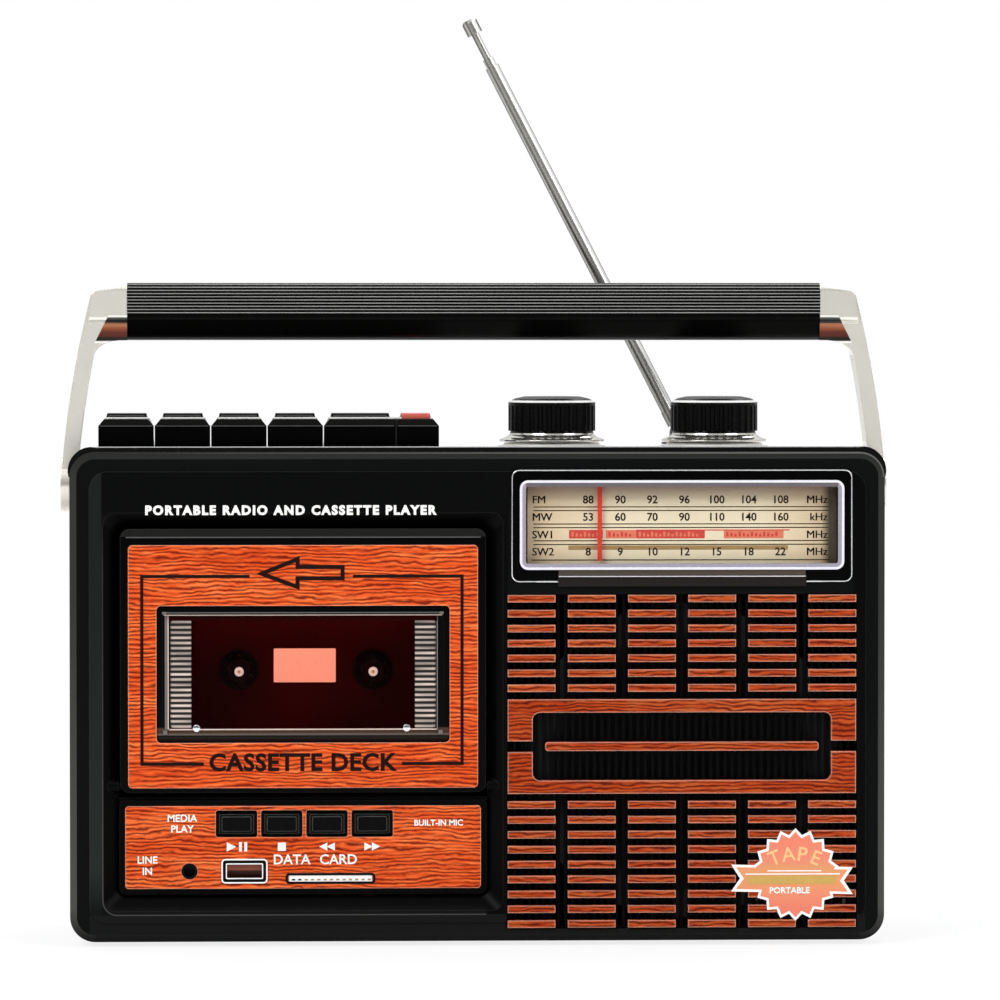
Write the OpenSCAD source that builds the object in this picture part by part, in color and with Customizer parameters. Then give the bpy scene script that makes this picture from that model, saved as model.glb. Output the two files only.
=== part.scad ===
// Portable radio cassette player with a carrying handle and a telescopic antenna.
// +X points to the right, +Y to the rear and +Z up. The origin lies on the floor,
// under the middle of the cabinet.

/* [Cabinet] */
// Width of the front cabinet
body_w = 258; // [254:1:280]
// Height of the cabinet above its feet
body_h = 155; // [153:1:170]
// Depth of the whole cabinet
body_d = 90; // [88:1:104]
// Depth of the front cabinet, up to the parting line
front_d = 21; // [20:0.5:22.5]
// Thickness of the moulded walls
wall = 2.4; // [2:0.1:2.8]
// Thickness of the front wall
front_wall = 2.5; // [2:0.1:3]
// Corner radius of the front cabinet
corner_r = 8; // [6:0.5:10]
// Corner radius of the rear cabinet
rear_r = 4.5; // [3.5:0.5:6]
// Step from each side of the front cabinet in to the rear cabinet
rear_step = 3.5; // [3:0.1:4.5]
// Bevel round the front face
bevel = 2.2; // [1:0.1:3]
// Plain band between the bevel and the raised front panel
band_w = 4; // [3:0.5:5]
// Height of the raised front panel
front_raise = 0.6; // [0.3:0.1:1]
// Bevel round the back
rear_bevel = 3; // [1.5:0.5:3.5]
// Height of the feet
foot_h = 1.2; // [0.8:0.1:3]
// Radius of a foot
foot_r = 6; // [4:0.5:8]
// Feet in from the sides of the cabinet
foot_in = 34; // [24:1:49]
// Radius of a cabinet screw
screw_r = 1.5; // [1.2:0.1:2]
// Radius of a cabinet screw's head
screw_head_r = 2.8; // [2.5:0.1:3.2]
// Cabinet screws in from the sides of the cabinet
screw_in = 12; // [11:0.5:14]

/* [Cassette bay] */
// Cassette bay in from the left side of the cabinet
bay_in = 15.7; // [14:0.1:16.2]
// Width of the cassette door and of the control panel under it
bay_w = 116; // [114:0.5:117]
// Height of the cassette door
door_h = 83.4; // [81:0.2:86]
// Lower edge of the cassette door above the bottom of the cabinet
door_up = 47.3; // [46.5:0.1:49]
// Thickness of the cassette door
door_t = 3.2; // [2.8:0.1:4]
// Black rim of the door beside the wood panel
door_rim = 2.6; // [1.5:0.1:4]
// Black rim of the door over the wood panel
door_rim_top = 5; // [3:0.1:7]
// Depth of the recess that holds the door
recess_d = 5; // [4.5:0.1:6]
// Width of the sloped walls of the recess
slope_w = 5.1; // [4:0.1:5.2]
// Thickness of a wood-faced plate
foil_t = 0.6; // [0.4:0.1:1]
// Radius of the door's hinge pins
hinge_r = 1.2; // [0.9:0.1:1.4]
// Width of the door window
window_w = 92.6; // [80:0.2:96]
// Height of the door window
window_h = 43.3; // [38:0.1:46]
// Width of the sloped edge round the window
window_slope = 4.3; // [3:0.1:5]
// Depth of the sloped edge round the window
window_set = 1.4; // [0.8:0.1:1.6]
// Middle of the window above the bottom of the cabinet
window_up = 84.7; // [83:0.1:87]
// Ribs in each strip of the window
window_ribs = 21; // [10:1:30]
// Width of a cassette
cassette_w = 100.4; // [100.4:0.1:101]
// Height of a cassette
cassette_h = 63.8; // [63.8:0.1:64.2]
// Room for the thickness of a cassette
cassette_t = 12.4; // [12:0.1:13]

/* [Control panel] */
// Height of the control panel's black frame
panel_h = 29.7; // [28:0.1:31]
// Lower edge of that frame above the bottom of the cabinet
panel_up = 15; // [13:0.1:16]
// Width of a button opening
button_hole_w = 13.1; // [11:0.1:13.4]
// Height of a button opening
button_hole_h = 8.5; // [7:0.1:9.5]
// Distance from one button to the next
button_pitch = 14.3; // [13.8:0.1:15]
// Gap round a button cap
button_gap = 1.15; // [0.4:0.05:1.5]
// Middle of the first button from the left edge of the bay
button_in = 36.9; // [33:0.1:40]
// Radius of the plug hole in the jack socket
jack_r = 1.8; // [1.75:0.05:2]

/* [Dial] */
// Dial bezel in from each end of the grille
dial_in = 1.1; // [0.2:0.1:5]
// Height of the dial bezel
dial_h = 35.7; // [33:0.1:36.5]
// Lower edge of the dial bezel above the bottom of the cabinet
dial_up = 113.7; // [113.4:0.1:115]
// Dial window in from each end of the bezel
dial_ends = 5.1; // [4:0.1:9]
// Height of the dial window
dial_window_h = 25.6; // [22:0.1:27]
// Where the pointer stands, from the left end of its travel
pointer_at = 10.1; // [0:0.1:20]
// Left end of the pointer's travel from the left edge of the window
pointer_in = 13; // [8:0.1:16]
// Right end of the pointer's travel from the right edge of the window
pointer_out = 11; // [8:0.1:16]

/* [Grille] */
// Gap between the cassette bay and the grille
grille_gap = 1.5; // [1.3:0.1:3]
// Grille in from the right side of the cabinet
grille_in = 9.3; // [9:0.1:12]
// Columns of slats
slat_cols = 6; // [4:1:6]
// Rows of slats above the ring
slat_rows_top = 7; // [4:1:7]
// Rows of slats under the ring
slat_rows_low = 9; // [4:1:9]
// Sideways gap between two slats
slat_gap = 3.96; // [3:0.02:5]
// Height of a slat
slat_h = 2.35; // [1.8:0.05:2.8]
// Upward distance from one slat to the next
slat_pitch_z = 4.72; // [4.2:0.02:4.75]
// Height of the wood ring between the two fields of slats
ring_h = 29.9; // [26:0.1:30.5]
// Width of the wood ring at its sides
ring_side = 7.9; // [5:0.1:10]
// Width of the wood ring at its top and bottom
ring_edge = 4.2; // [3:0.1:6]
// Lowest slat above the bottom of the cabinet
grille_up = 4.3; // [4.2:0.1:5]
// Distance from one upright fin to the next
fin_pitch = 2.3; // [2:0.1:3]
// Thickness of a fin
fin_w = 1.05; // [0.8:0.05:1.3]
// Depth of the fins
fin_d = 1.6; // [1.2:0.1:2.4]
// Loudspeaker in from the edges of the grille
speaker_in = 2.7; // [2.5:0.1:8]

/* [Deck, keys and knobs] */
// Thickness of the top deck
deck_t = 1.6; // [1.2:0.1:2.4]
// How far the deck stands above the top of the front cabinet
deck_raise = 0.4; // [0.2:0.1:0.8]
// Row of keys in from the left side of the cabinet
keys_in = 8.6; // [8.4:0.1:10]
// Width of a narrow key
key_w = 17.7; // [16.5:0.1:17.8]
// Width of the play key
play_w = 22.9; // [20:0.1:23.5]
// Width of the record key
record_w = 13.6; // [11:0.1:14]
// Gap between two keys
key_gap = 0.3; // [0.2:0.05:0.5]
// Depth of a key from front to back
key_d = 24; // [22:0.5:26]
// Front face of the keys behind the front of the cabinet
key_back = 28; // [27.5:0.1:30]
// Height of a key above the deck
key_h = 10.8; // [9:0.1:12]
// Height of the pad on a key
pad_h = 1.3; // [0.8:0.1:1.6]
// Outer radius of a knob
knob_r = 14; // [12:0.1:15]
// Height of a knob
knob_h = 14.4; // [12:0.1:16]
// Grooves round a knob
knob_grooves = 30; // [24:1:40]
// Radius of a groove in a knob
knob_groove_r = 0.9; // [0.5:0.1:1.1]
// Radius of the flared skirt below a knob
skirt_r = 16.8; // [15:0.2:17.2]
// Volume knob in from the left end of the grille
volume_in = 15.8; // [14:0.1:20]
// Tuning knob to the right of the middle of the dial
tuning_off = 12.9; // [10:0.1:15]
// Place of both knobs, front to back
knob_y = -4; // [-6:0.1:0]
// Outer radius of the ring under a knob
ring_r = 16.6; // [15.5:0.1:18]
// Height of the ring under a knob
ring_up = 1.6; // [1:0.1:2]

/* [Handle] */
// Height of the handle's pivot under the top of the cabinet
pivot_down = 11.5; // [10.5:0.1:13]
// Reach of the arms past the sides of the cabinet, at their widest
arm_out = 4.5; // [4.2:0.1:5]
// Height of the widest place under the top of the cabinet
arm_wide_down = 35; // [30:0.5:38]
// Radius of the long curve of the arms
arm_curve_r = 345; // [335:1:400]
// Thickness of an arm
arm_t = 5; // [4.4:0.1:5.2]
// Width of an arm, front to back
arm_w = 14; // [12:0.5:15]
// Radius of the round end at the pivot
arm_end_r = 8.8; // [8:0.1:9.5]
// Radius of the pivot pin
pivot_r = 4; // [3:0.1:4.5]
// Ends of the grip in from the sides of the cabinet
grip_in = 17.7; // [17:0.1:20]
// Underside of the grip above the top of the cabinet
grip_up = 35; // [33:0.5:40]
// Height of the grip
grip_h = 18; // [16:0.5:20]
// Depth of the grip
grip_d = 16; // [14:0.5:18]
// Radius of a rib on the grip
grip_rib_r = 0.4; // [0.3:0.05:0.45]
// Space from one rib on the grip to the next
grip_rib_pitch = 1.02; // [0.95:0.01:1.3]
// Upright share of the grip's height, before it is drawn in below
grip_straight = 0.7; // [0.5:0.01:0.8]

/* [Antenna] */
// Antenna base to the right of the middle of the dial
antenna_off = 4.5; // [1.5:0.5:10]
// Place of the antenna base in front of the back of the cabinet
antenna_in = 9; // [8.5:0.1:10]
// Height of the antenna's tilt pin above the deck
tilt_up = 3.8; // [3.7:0.1:5]
// Lean of the antenna to the left, in degrees
antenna_lean = 27.2; // [0:0.1:60]
// Length of the outer tube, from the tilt pin
tube_l = 135; // [110:1:150]
// Outer radius of the outer tube
tube_r = 2.3; // [2.1:0.05:2.6]
// Wall of an antenna tube
tube_wall = 0.4; // [0.3:0.05:0.5]
// Length of the tip that shows above the tube
tip_l = 17; // [12:0.5:25]

/* [Tape mechanism] */
// Distance between the two reel spindles
hub_pitch = 42.5; // [42.5:0.1:43]
// Middle of the spindles to the right of the middle of the bay
hub_off = 1; // [0.3:0.1:1.3]
// Spindles above the bottom of the cabinet
hub_up = 85.1; // [84:0.1:86]
// Spindles from the open edge of the cassette
hub_to_edge = 29.2; // [29:0.1:29.6]
// Capstan, left of the middle of the spindles
capstan_left = 31.7; // [31:0.1:33]
// Capstan below the open edge of the cassette
capstan_down = 9.5; // [9:0.1:10]
// Radius of the capstan
capstan_r = 1.2; // [1:0.05:1.5]
// Radius of the pinch roller
roller_r = 6; // [5:0.1:6.5]
// Travel of the head plate when play is pressed
head_travel = 8; // [6:0.5:8.5]
// Radius of the flywheel
flywheel_r = 23; // [18:0.5:24]
// Radius of the motor pulley
pulley_r = 5; // [3.5:0.5:6]
// Radius of the motor
motor_r = 14; // [11:0.5:15]
// Thickness of the drive belt
belt_t = 1.2; // [0.8:0.1:1.6]
// Thickness of the chassis plate
chassis_t = 1.6; // [1.2:0.1:2]

/* [Battery] */
// Radius of the room for a battery cell
cell_r = 17.1; // [16.8:0.1:17.4]
// Length of the row of two cells
cells_l = 124; // [123.5:0.5:128]
// Thickness of the battery trough's walls
trough_t = 1.6; // [1.2:0.1:2]

/* [Clearances] */
// Gap between faces that move past each other
run_gap = 0.3; // [0.25:0.05:0.4]
// Gap between a shaft and its bore, on the radius
shaft_gap = 0.05; // [0.02:0.01:0.08]
// Gap between two pieces that fit together
fit_gap = 0.15; // [0.05:0.05:0.2]

/* [Hidden] */
$fn = 64;

// Cabinet planes
cut = 1;
y_front = -body_d/2;
y_back = body_d/2;
y_part = y_front + front_d;
y_in = y_front + front_wall;
z_low = foot_h;
z_top = foot_h + body_h;
z_mid = foot_h + body_h/2;
rear_w = body_w - 2*rear_step;
rear_h = body_h + deck_raise - deck_t;
z_rear_top = z_low + rear_h;
z_rear_mid = z_low + rear_h/2;
z_deck = z_top + deck_raise;
y_inner_back = y_back - wall;
screw_x = body_w/2 - screw_in;
screw_zs = [z_low + 11, z_top - 28];
tunnel_r = screw_head_r + 1.6;
foot_x = body_w/2 - foot_in;
inlet_x = body_w/2 - 33;

// Cassette bay, door and control panel
bay_left = bay_in - body_w/2;
bay_x = bay_left + bay_w/2;
bay_right = bay_left + bay_w;
y_floor = y_front + recess_d;
y_floor_in = y_floor + wall;
door_z0 = z_low + door_up;
door_z1 = door_z0 + door_h;
door_zc = (door_z0 + door_z1)/2;
y_door_in = y_floor - run_gap;
y_door = y_door_in - door_t;
hinge_y = y_door_in - hinge_r - 0.2;
hinge_z = door_z0 + hinge_r + 0.8;
hinge_l = 3.2;
pin_reach = hinge_l + run_gap;
window_z = z_low + window_up;
window_lip = 1.6;
pane_w = window_w - 2*window_slope;
pane_h = window_h - 2*window_slope;
y_pane = y_door + window_set;
wood_z0 = door_z0 + door_rim/2;
wood_z1 = door_z1 - door_rim_top;
panel_z0 = z_low + panel_up;
panel_zc = panel_z0 + panel_h/2;
panel_rim = 1.6;
panel_seat = 1.1;
recess_zc = (panel_z0 + door_z1)/2;
recess_h = door_z1 - panel_z0;
opening_rim = 1.5;
holder_wall = 1.6;
y_holder_back = y_door_in + cassette_t + holder_wall + 1;
holder_h = 50;

// Tape mechanism
y_chassis = y_holder_back + 3;
y_chassis_back = y_chassis + chassis_t;
hub_x = bay_x + hub_off;
hub_z = z_low + hub_up;
edge_z = hub_z + hub_to_edge;
capstan_x = hub_x - capstan_left;
capstan_z = edge_z - capstan_down;
chassis_z0 = door_z0 - 7;
chassis_z1 = z_top - 17;
post_r = 2.5;
post_xs = [bay_left + 13, bay_right - 13];
post_zs = [door_z0 - 3, door_z1 + 2.8];
y_belt = y_chassis_back + 4.2;
belt_w = 3;
motor_x = capstan_x + 46;
motor_z = capstan_z + 6;
y_motor = y_belt + belt_w + 5;
motor_l = 25;
rod_r = 1.5;
keys_x = keys_in - body_w/2;
key_y = y_front + key_back;
rod_y = key_y + key_d - 3;
rod_z = z_top - 6.7;
cheek_t = 1.5;
cheek_xs = [keys_x - 1.9, keys_x + 4*(key_w + key_gap) + play_w + key_gap + record_w + 0.7];
head_z = edge_z + 2;
head_plate_h = 21;
head_plate_x0 = capstan_x - 8;
head_plate_x1 = hub_x + 38;
head_pin_zs = head_z + 9;
y_head = y_chassis - run_gap - 1.5;

// Dial and grille
grille_left = bay_right + slope_w + grille_gap;
grille_right = body_w/2 - grille_in;
slats_w = grille_right - grille_left;
slat_w = (slats_w - (slat_cols - 1)*slat_gap)/slat_cols;
slat_pitch_x = slat_w + slat_gap;
dial_x = (grille_left + grille_right)/2;
dial_w = slats_w - 2*dial_in;
dial_window_w = dial_w - 2*dial_ends;
drum_r = (dial_window_w - pointer_in - pointer_out)/PI;
dial_zc = z_low + dial_up + dial_h/2;
dial_flange = 1.2;
dial_wall = 1.4;
y_tray = y_front + 7.5;
lens_t = 1.4;
y_lens = y_in - lens_t;
y_scale = y_in + 2.3;
scale_t = 1;
pointer_t = 0.8;
y_pointer = y_scale - run_gap - 0.6 - pointer_t;
pointer_x = dial_x - dial_window_w/2 + pointer_in + pointer_at;
scale_z1 = dial_zc + dial_window_h/2 + 1.6;
slats_low_h = slat_rows_low*slat_pitch_z - slat_pitch_z + slat_h;
slats_top_h = slat_rows_top*slat_pitch_z - slat_pitch_z + slat_h;
slat_space = slat_pitch_z - slat_h;
grille_h = slats_low_h + slat_space + ring_h + slat_space + slats_top_h;
grille_z0 = z_low + grille_up;
grille_zc = grille_z0 + grille_h/2;
grille_edge = 0.4;
y_fins = y_in + fin_d;
y_slat = y_front - 0.2;
speaker_z = grille_z0 + grille_h/2;
speaker_r = min(slats_w, grille_h)/2 - speaker_in;

// Deck, knobs, boards
volume_x = grille_left + volume_in;
tuning_x = dial_x + tuning_off;
volume_stem_r = 2;
tuning_stem_r = 3;
key_slot = [keys_x - 0.5, keys_x + 4*(key_w + key_gap) + play_w + key_gap + record_w + 0.5];
knob_z = z_deck + ring_up + 0.5;
board_z = z_top - 20;
board_t = 1.6;
board_edge = 4.2;
board_x = [grille_left + board_edge, grille_right - board_edge];
board_y = [y_part + 5, 30];
capacitor_h = 11;
drum_z = board_z + capacitor_h + 0.6;
drum_t = 2.8;
antenna_x = dial_x + antenna_off;
antenna_y = y_back - antenna_in;
tilt_z = z_deck + tilt_up;
antenna_bore_r = 4;

// Handle
arm_x = body_w/2 + arm_out;
grip_half = body_w/2 - grip_in;
pivot_z = z_top - pivot_down;
grip_z0 = z_top + grip_up;
grip_zc = grip_z0 + grip_h/2;
arm_wide_z = z_top - arm_wide_down;
grip_edge_r = 2;

// Battery bay
trough_y = y_inner_back - cell_r - 1;
trough_zs = [z_low + wall + trough_t + cell_r + 0.5, z_low + wall + 2*trough_t + 3*cell_r + 0.5];
trough_w = cells_l + 2*trough_t;
bay_z0 = trough_zs[0] - cell_r;
bay_z1 = trough_zs[1] + cell_r;
lid_x = trough_w/2 - trough_t;
lid_t = wall - 0.4;
lid_y = y_back - lid_t/2;
lid_z = bay_z0 + run_gap + lid_t/2;
lid_pin_r = lid_t*0.4;
lid_pin_l = 2;

// Colours
black = [0.06, 0.065, 0.06];
gloss = [0.03, 0.03, 0.03];
grey = [0.2, 0.2, 0.2];
silver = [0.8, 0.8, 0.78];
chrome = [0.86, 0.85, 0.82];
wood = [0.55, 0.2, 0.06];
cream = [0.9, 0.82, 0.66];
red = [0.8, 0.15, 0.12];
steel = [0.6, 0.6, 0.62];
green = [0.1, 0.35, 0.15];
brass = [0.75, 0.6, 0.3];

// Rounded rectangle about its middle
module rrect(w, h, r) {
    square([w - 2*r, h], center = true);
    square([w, h - 2*r], center = true);
    for (sx = [-1, 1], sz = [-1, 1])
        translate([sx*(w/2 - r), sz*(h/2 - r)])
            circle(r);
}

// Upright rounded plate about (x, z), from y0 back to y1
module panel(x, z, w, h, r, y0, y1) {
    translate([x, y1, z])
        rotate([90, 0, 0])
            linear_extrude(y1 - y0)
                rrect(w, h, r);
}

// Box between two corners
module box(x0, x1, y0, y1, z0, z1) {
    translate([x0, y0, z0])
        cube([x1 - x0, y1 - y0, z1 - z0]);
}

// Round rods along the three axes
module rod_along_x(y, z, r, x0, x1) {
    translate([x0, y, z])
        rotate([0, 90, 0])
            cylinder(r = r, h = x1 - x0);
}

module rod_along_y(x, z, r, y0, y1) {
    translate([x, y1, z])
        rotate([90, 0, 0])
            cylinder(r = r, h = y1 - y0);
}

module rod_along_z(x, y, r, z0, z1) {
    translate([x, y, z0])
        cylinder(r = r, h = z1 - z0);
}

// Outline drawn in X and Z, from y0 back to y1
module upright(y0, y1) {
    translate([0, y1, 0])
        rotate([90, 0, 0])
            linear_extrude(y1 - y0)
                children();
}

// Outline drawn in Y and Z, from x0 right to x1
module sideways(x0, x1) {
    translate([x0, 0, 0])
        rotate([90, 0, 90])
            linear_extrude(x1 - x0)
                children();
}

// Shape turned about an axis along Y through (x, z); the outline's points are [radius, y]
module turned_y(x, z, points) {
    translate([x, 0, z])
        rotate([-90, 0, 0])
            rotate_extrude()
                polygon(points);
}

// Front cabinet
module front_body() {
    slab = 0.2;
    y_band = y_front + front_raise;
    hull() {
        panel(0, z_mid, body_w - 2*bevel, body_h - 2*bevel, corner_r - bevel, y_band, y_band + slab);
        panel(0, z_mid, body_w, body_h, corner_r, y_band + bevel, y_part);
    }
    raised = 2*(bevel + band_w);
    panel(0, z_mid, body_w - raised, body_h - raised, corner_r - bevel, y_front, y_band + slab);
}

module front_cavity() {
    panel(0, z_mid, body_w - 2*wall, body_h - 2*wall, corner_r - wall, y_in, y_part - wall);
    panel(0, z_rear_mid, rear_w - 2*wall, rear_h - 2*wall, rear_r - wall/2, y_in, y_part + cut);
}

module recess() {
    slab = 0.2;
    hull() {
        panel(bay_x, recess_zc, bay_w + 2*slope_w, recess_h + 2*slope_w, 3.5, y_front - slab, y_front);
        panel(bay_x, recess_zc, bay_w, recess_h, 3, y_floor - slab, y_floor);
    }
}

module recess_tub() {
    tub_right = bay_right + slope_w + 0.5;
    tub_left = bay_left - slope_w - wall;
    tub_z0 = panel_z0 - slope_w - wall;
    tub_z1 = door_z1 + slope_w + wall;
    box(tub_left, tub_right, y_in - cut, y_floor_in, tub_z0, tub_z1);
}

module panel_frame() {
    difference() {
        panel(bay_x, panel_zc, bay_w, panel_h, 2, y_floor - 1.6, y_floor + cut);
        panel(bay_x, panel_zc, bay_w - 2*panel_rim, panel_h - 2*panel_rim, 1.2, y_floor - 3, y_floor - 0.4);
    }
}

module screw_bosses() {
    for (side = [-1, 1], z = screw_zs) {
        rod_along_y(side*screw_x, z, 3.2, y_tray + run_gap, y_part - run_gap);
        box(side*screw_x - (side < 0 ? 11 : 0), side*screw_x + (side < 0 ? 0 : 11),
            y_tray + run_gap, y_part - wall - run_gap, z - 1, z + 1);
    }
}

// Round bosses on the sloped walls of the recess, bored for the door's hinge pins
module hinge_bosses() {
    boss_r = hinge_r + 0.8;
    rod_along_x(hinge_y, hinge_z, boss_r, bay_left - hinge_l - 1, bay_left - run_gap);
    rod_along_x(hinge_y, hinge_z, boss_r, bay_right + run_gap, bay_right + hinge_l + 1);
}

module front_cabinet() {
    color(black)
        difference() {
            intersection() {
                union() {
                    difference() {
                        front_body();
                        front_cavity();
                    }
                    recess_tub();
                    screw_bosses();
                    for (x = post_xs, z = post_zs)
                        rod_along_y(x, z, post_r, y_floor_in - cut, y_chassis);
                }
                panel(0, z_mid, body_w + cut, body_h + cut, corner_r, y_front - cut, y_back);
            }
            difference() {
                recess();
                panel_frame();
                hinge_bosses();
            }
            box(bay_left + opening_rim, bay_right - opening_rim, y_floor - cut, y_floor_in + cut,
                door_z0 - opening_rim, door_z1 - 4);
            box(bay_left - run_gap, bay_right + run_gap, y_floor - cut, y_floor_in + cut,
                door_z0 - opening_rim, hinge_z + 3);
            box(bay_left + 6, bay_right - 6, y_floor - 3, y_floor_in + cut,
                panel_z0 + panel_rim + panel_seat, panel_z0 + panel_h - panel_rim - panel_seat);
            rod_along_x(hinge_y, hinge_z, hinge_r + shaft_gap, bay_left - pin_reach, bay_left + cut);
            rod_along_x(hinge_y, hinge_z, hinge_r + shaft_gap, bay_right - cut, bay_right + pin_reach);
            panel(dial_x, grille_zc, slats_w + 2*grille_edge, grille_h + 2*grille_edge, 1,
                y_front - cut, y_in + cut);
            panel(dial_x, dial_zc, dial_w + 2*fit_gap, dial_h + 2*fit_gap, 2.6, y_front - cut, y_in + cut);
            for (side = [-1, 1], z = screw_zs)
                rod_along_y(side*screw_x, z, screw_r, y_floor_in, y_part + cut);
        }
}

// Rear cabinet
module rear_body() {
    slab = 0.2;
    hull() {
        panel(0, z_rear_mid, rear_w, rear_h, rear_r, y_part, y_back - rear_bevel - cut);
        panel(0, z_rear_mid, rear_w - 2*rear_bevel, rear_h - 2*rear_bevel, rear_r, y_back - slab, y_back);
    }
}

module screw_tunnels() {
    for (side = [-1, 1], z = screw_zs)
        rod_along_y(side*screw_x, z, tunnel_r, y_part, y_inner_back + cut/2);
}

module board_posts() {
    for (x = [board_x[0] + 4, board_x[1] - 4], y = [board_y[0] + 4, board_y[1] - 4])
        rod_along_z(x, y, 2.5, board_z, z_rear_top - wall/2);
}

module handle_bosses() {
    inner = rear_w/2 - wall/2;
    boss = arm_inner_x(pivot_z + arm_end_r) - run_gap;
    for (side = [-1, 1])
        mirror([side < 0 ? 1 : 0, 0, 0]) {
            rod_along_x(0, pivot_z, arm_end_r - 2, inner, boss);
            rod_along_x(0, pivot_z, pivot_r, inner, pin_end);
        }
}

module switch_slot() {
    box(rear_w/2 - wall - cut, rear_w/2 + cut, switch_y0, switch_y0 + switch_l + switch_travel,
        switch_z - 1.5, switch_z + 1.5);
}

module switch_guides() {
    for (side = [-1, 1])
        box(rear_w/2 - wall - 3.4, rear_w/2 - wall + 0.5, switch_y0 - 4,
            switch_y0 + switch_l + switch_travel + 4,
            switch_z + side*5.2 - 0.8, switch_z + side*5.2 + 0.8);
}

pin_end = arm_inner_x(pivot_z) - run_gap + arm_t - 1.6;
switch_y0 = y_part + 26;
switch_l = 5;
switch_travel = 12;
switch_z = z_low + 104;
inlet_z = z_low + 62;
inlet_w = 21;
inlet_h = 13;

module rear_cabinet() {
    color(black)
        difference() {
            union() {
                difference() {
                    rear_body();
                    panel(0, z_rear_mid, rear_w - 2*wall, rear_h - 2*wall, rear_r - wall/2,
                        y_part - cut, y_inner_back);
                }
                screw_tunnels();
                board_posts();
                handle_bosses();
                switch_guides();
                rod_along_z(antenna_x, antenna_y, antenna_bore_r + 2.4, z_rear_top - 6, z_rear_top - cut/2);
                for (side = [-1, 1], y = [y_part + 10, y_back - 9])
                    rod_along_z(side*foot_x, y, foot_r, 0, z_low + cut/2);
            }
            for (side = [-1, 1], z = screw_zs) {
                rod_along_y(side*screw_x, z, screw_r + 0.2, y_part - cut, y_back);
                rod_along_y(side*screw_x, z, screw_head_r + 0.2, y_part + 8, y_back + cut);
            }
            box(key_slot[0] - 0.6, key_slot[1] + 0.6, y_part - cut, rod_y + 4.5,
                z_rear_top - wall - cut, z_rear_top + cut);
            for (x = [volume_x, tuning_x])
                rod_along_z(x, knob_y, tuning_stem_r + 1.5, z_rear_top - wall - cut, z_rear_top + cut);
            rod_along_z(antenna_x, antenna_y, antenna_bore_r + shaft_gap, z_rear_top - 8, z_rear_top + cut);
            box(-lid_x, lid_x, y_inner_back - cut, y_back + cut, bay_z0, bay_z1);
            rod_along_x(lid_y, lid_z, lid_pin_r + shaft_gap, -lid_x - lid_pin_l - run_gap,
                lid_x + lid_pin_l + run_gap);
            panel(inlet_x, inlet_z, inlet_w + 2*fit_gap, inlet_h + 2*fit_gap, 2,
                y_inner_back - cut, y_back + cut);
            switch_slot();
            for (side = [-1, 1])
                mirror([side < 0 ? 1 : 0, 0, 0])
                    rod_along_x(0, pivot_z, screw_r, rear_w/2 - wall - cut, arm_x + cut);
        }
}

module cabinet_screw(x, z) {
    rod_along_y(x, z, screw_head_r, y_part + 8 - 2, y_part + 8);
    rod_along_y(x, z, screw_r, y_part - 10, y_part + 8 - 1);
}

// The tunnels are counterbored up to the shoulder that each head rests on
module cabinet_screws() {
    color(steel) {
        for (side = [-1, 1], z = screw_zs)
            translate([0, 2, 0])
                difference() {
                    cabinet_screw(side*screw_x, z);
                    box(side*screw_x - 2, side*screw_x + 2, y_part + 7.2, y_part + 9, z - 0.4, z + 0.4);
                }
        for (side = [-1, 1])
            mirror([side < 0 ? 1 : 0, 0, 0]) {
                rod_along_x(0, pivot_z, screw_r, pin_end - 6, pin_end + 0.5);
                rod_along_x(0, pivot_z, pivot_r + 1.2, pin_end, pin_end + 1.5);
            }
    }
}

// Bright deck on top, with a raised ring under each knob
module top_deck() {
    deck_w = rear_w - 3;
    deck_y1 = y_back - rear_bevel - 1;
    color(silver)
        difference() {
            union() {
                translate([0, (y_part + deck_y1)/2 + fit_gap/2, z_deck - deck_t])
                    linear_extrude(deck_t)
                        rrect(deck_w, deck_y1 - y_part - fit_gap, 2);
                for (x = [volume_x, tuning_x])
                    translate([x, knob_y, z_deck - 0.2])
                        cylinder(r1 = ring_r, r2 = ring_r - 1.4, h = ring_up + 0.2);
            }
            box(key_slot[0], key_slot[1], key_y - 1.6, rod_y + 4, z_rear_top - cut, z_deck + cut);
            for (x = [volume_x, tuning_x])
                rod_along_z(x, knob_y, tuning_stem_r + 1.2, z_rear_top - cut, z_deck + ring_up + cut);
            rod_along_z(antenna_x, antenna_y, antenna_bore_r + run_gap, z_rear_top - cut, z_deck + cut);
        }
}

// Upright fins behind the slats
module speaker_grille() {
    rim = 1.6;
    left = dial_x - slats_w/2 - 2*grille_edge;
    right = dial_x + slats_w/2 + rim;
    fins = floor((slats_w - fin_pitch)/fin_pitch);
    slot_h = grille_h - 2*grille_edge;
    color(black)
        upright(y_in, y_fins)
            difference() {
                translate([left, grille_z0 - rim])
                    square([right - left, grille_h + 2*rim]);
                for (i = [0:fins])
                    translate([dial_x + (i - fins/2)*fin_pitch - (fin_pitch - fin_w)/2,
                        grille_z0 + grille_edge])
                        square([fin_pitch - fin_w, slot_h]);
            }
}

module slat_field(z0, rows) {
    for (col = [0:slat_cols - 1], row = [0:rows - 1])
        translate([dial_x - slats_w/2 + col*slat_pitch_x, z0 + row*slat_pitch_z])
            square([slat_w, slat_h]);
}

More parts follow.
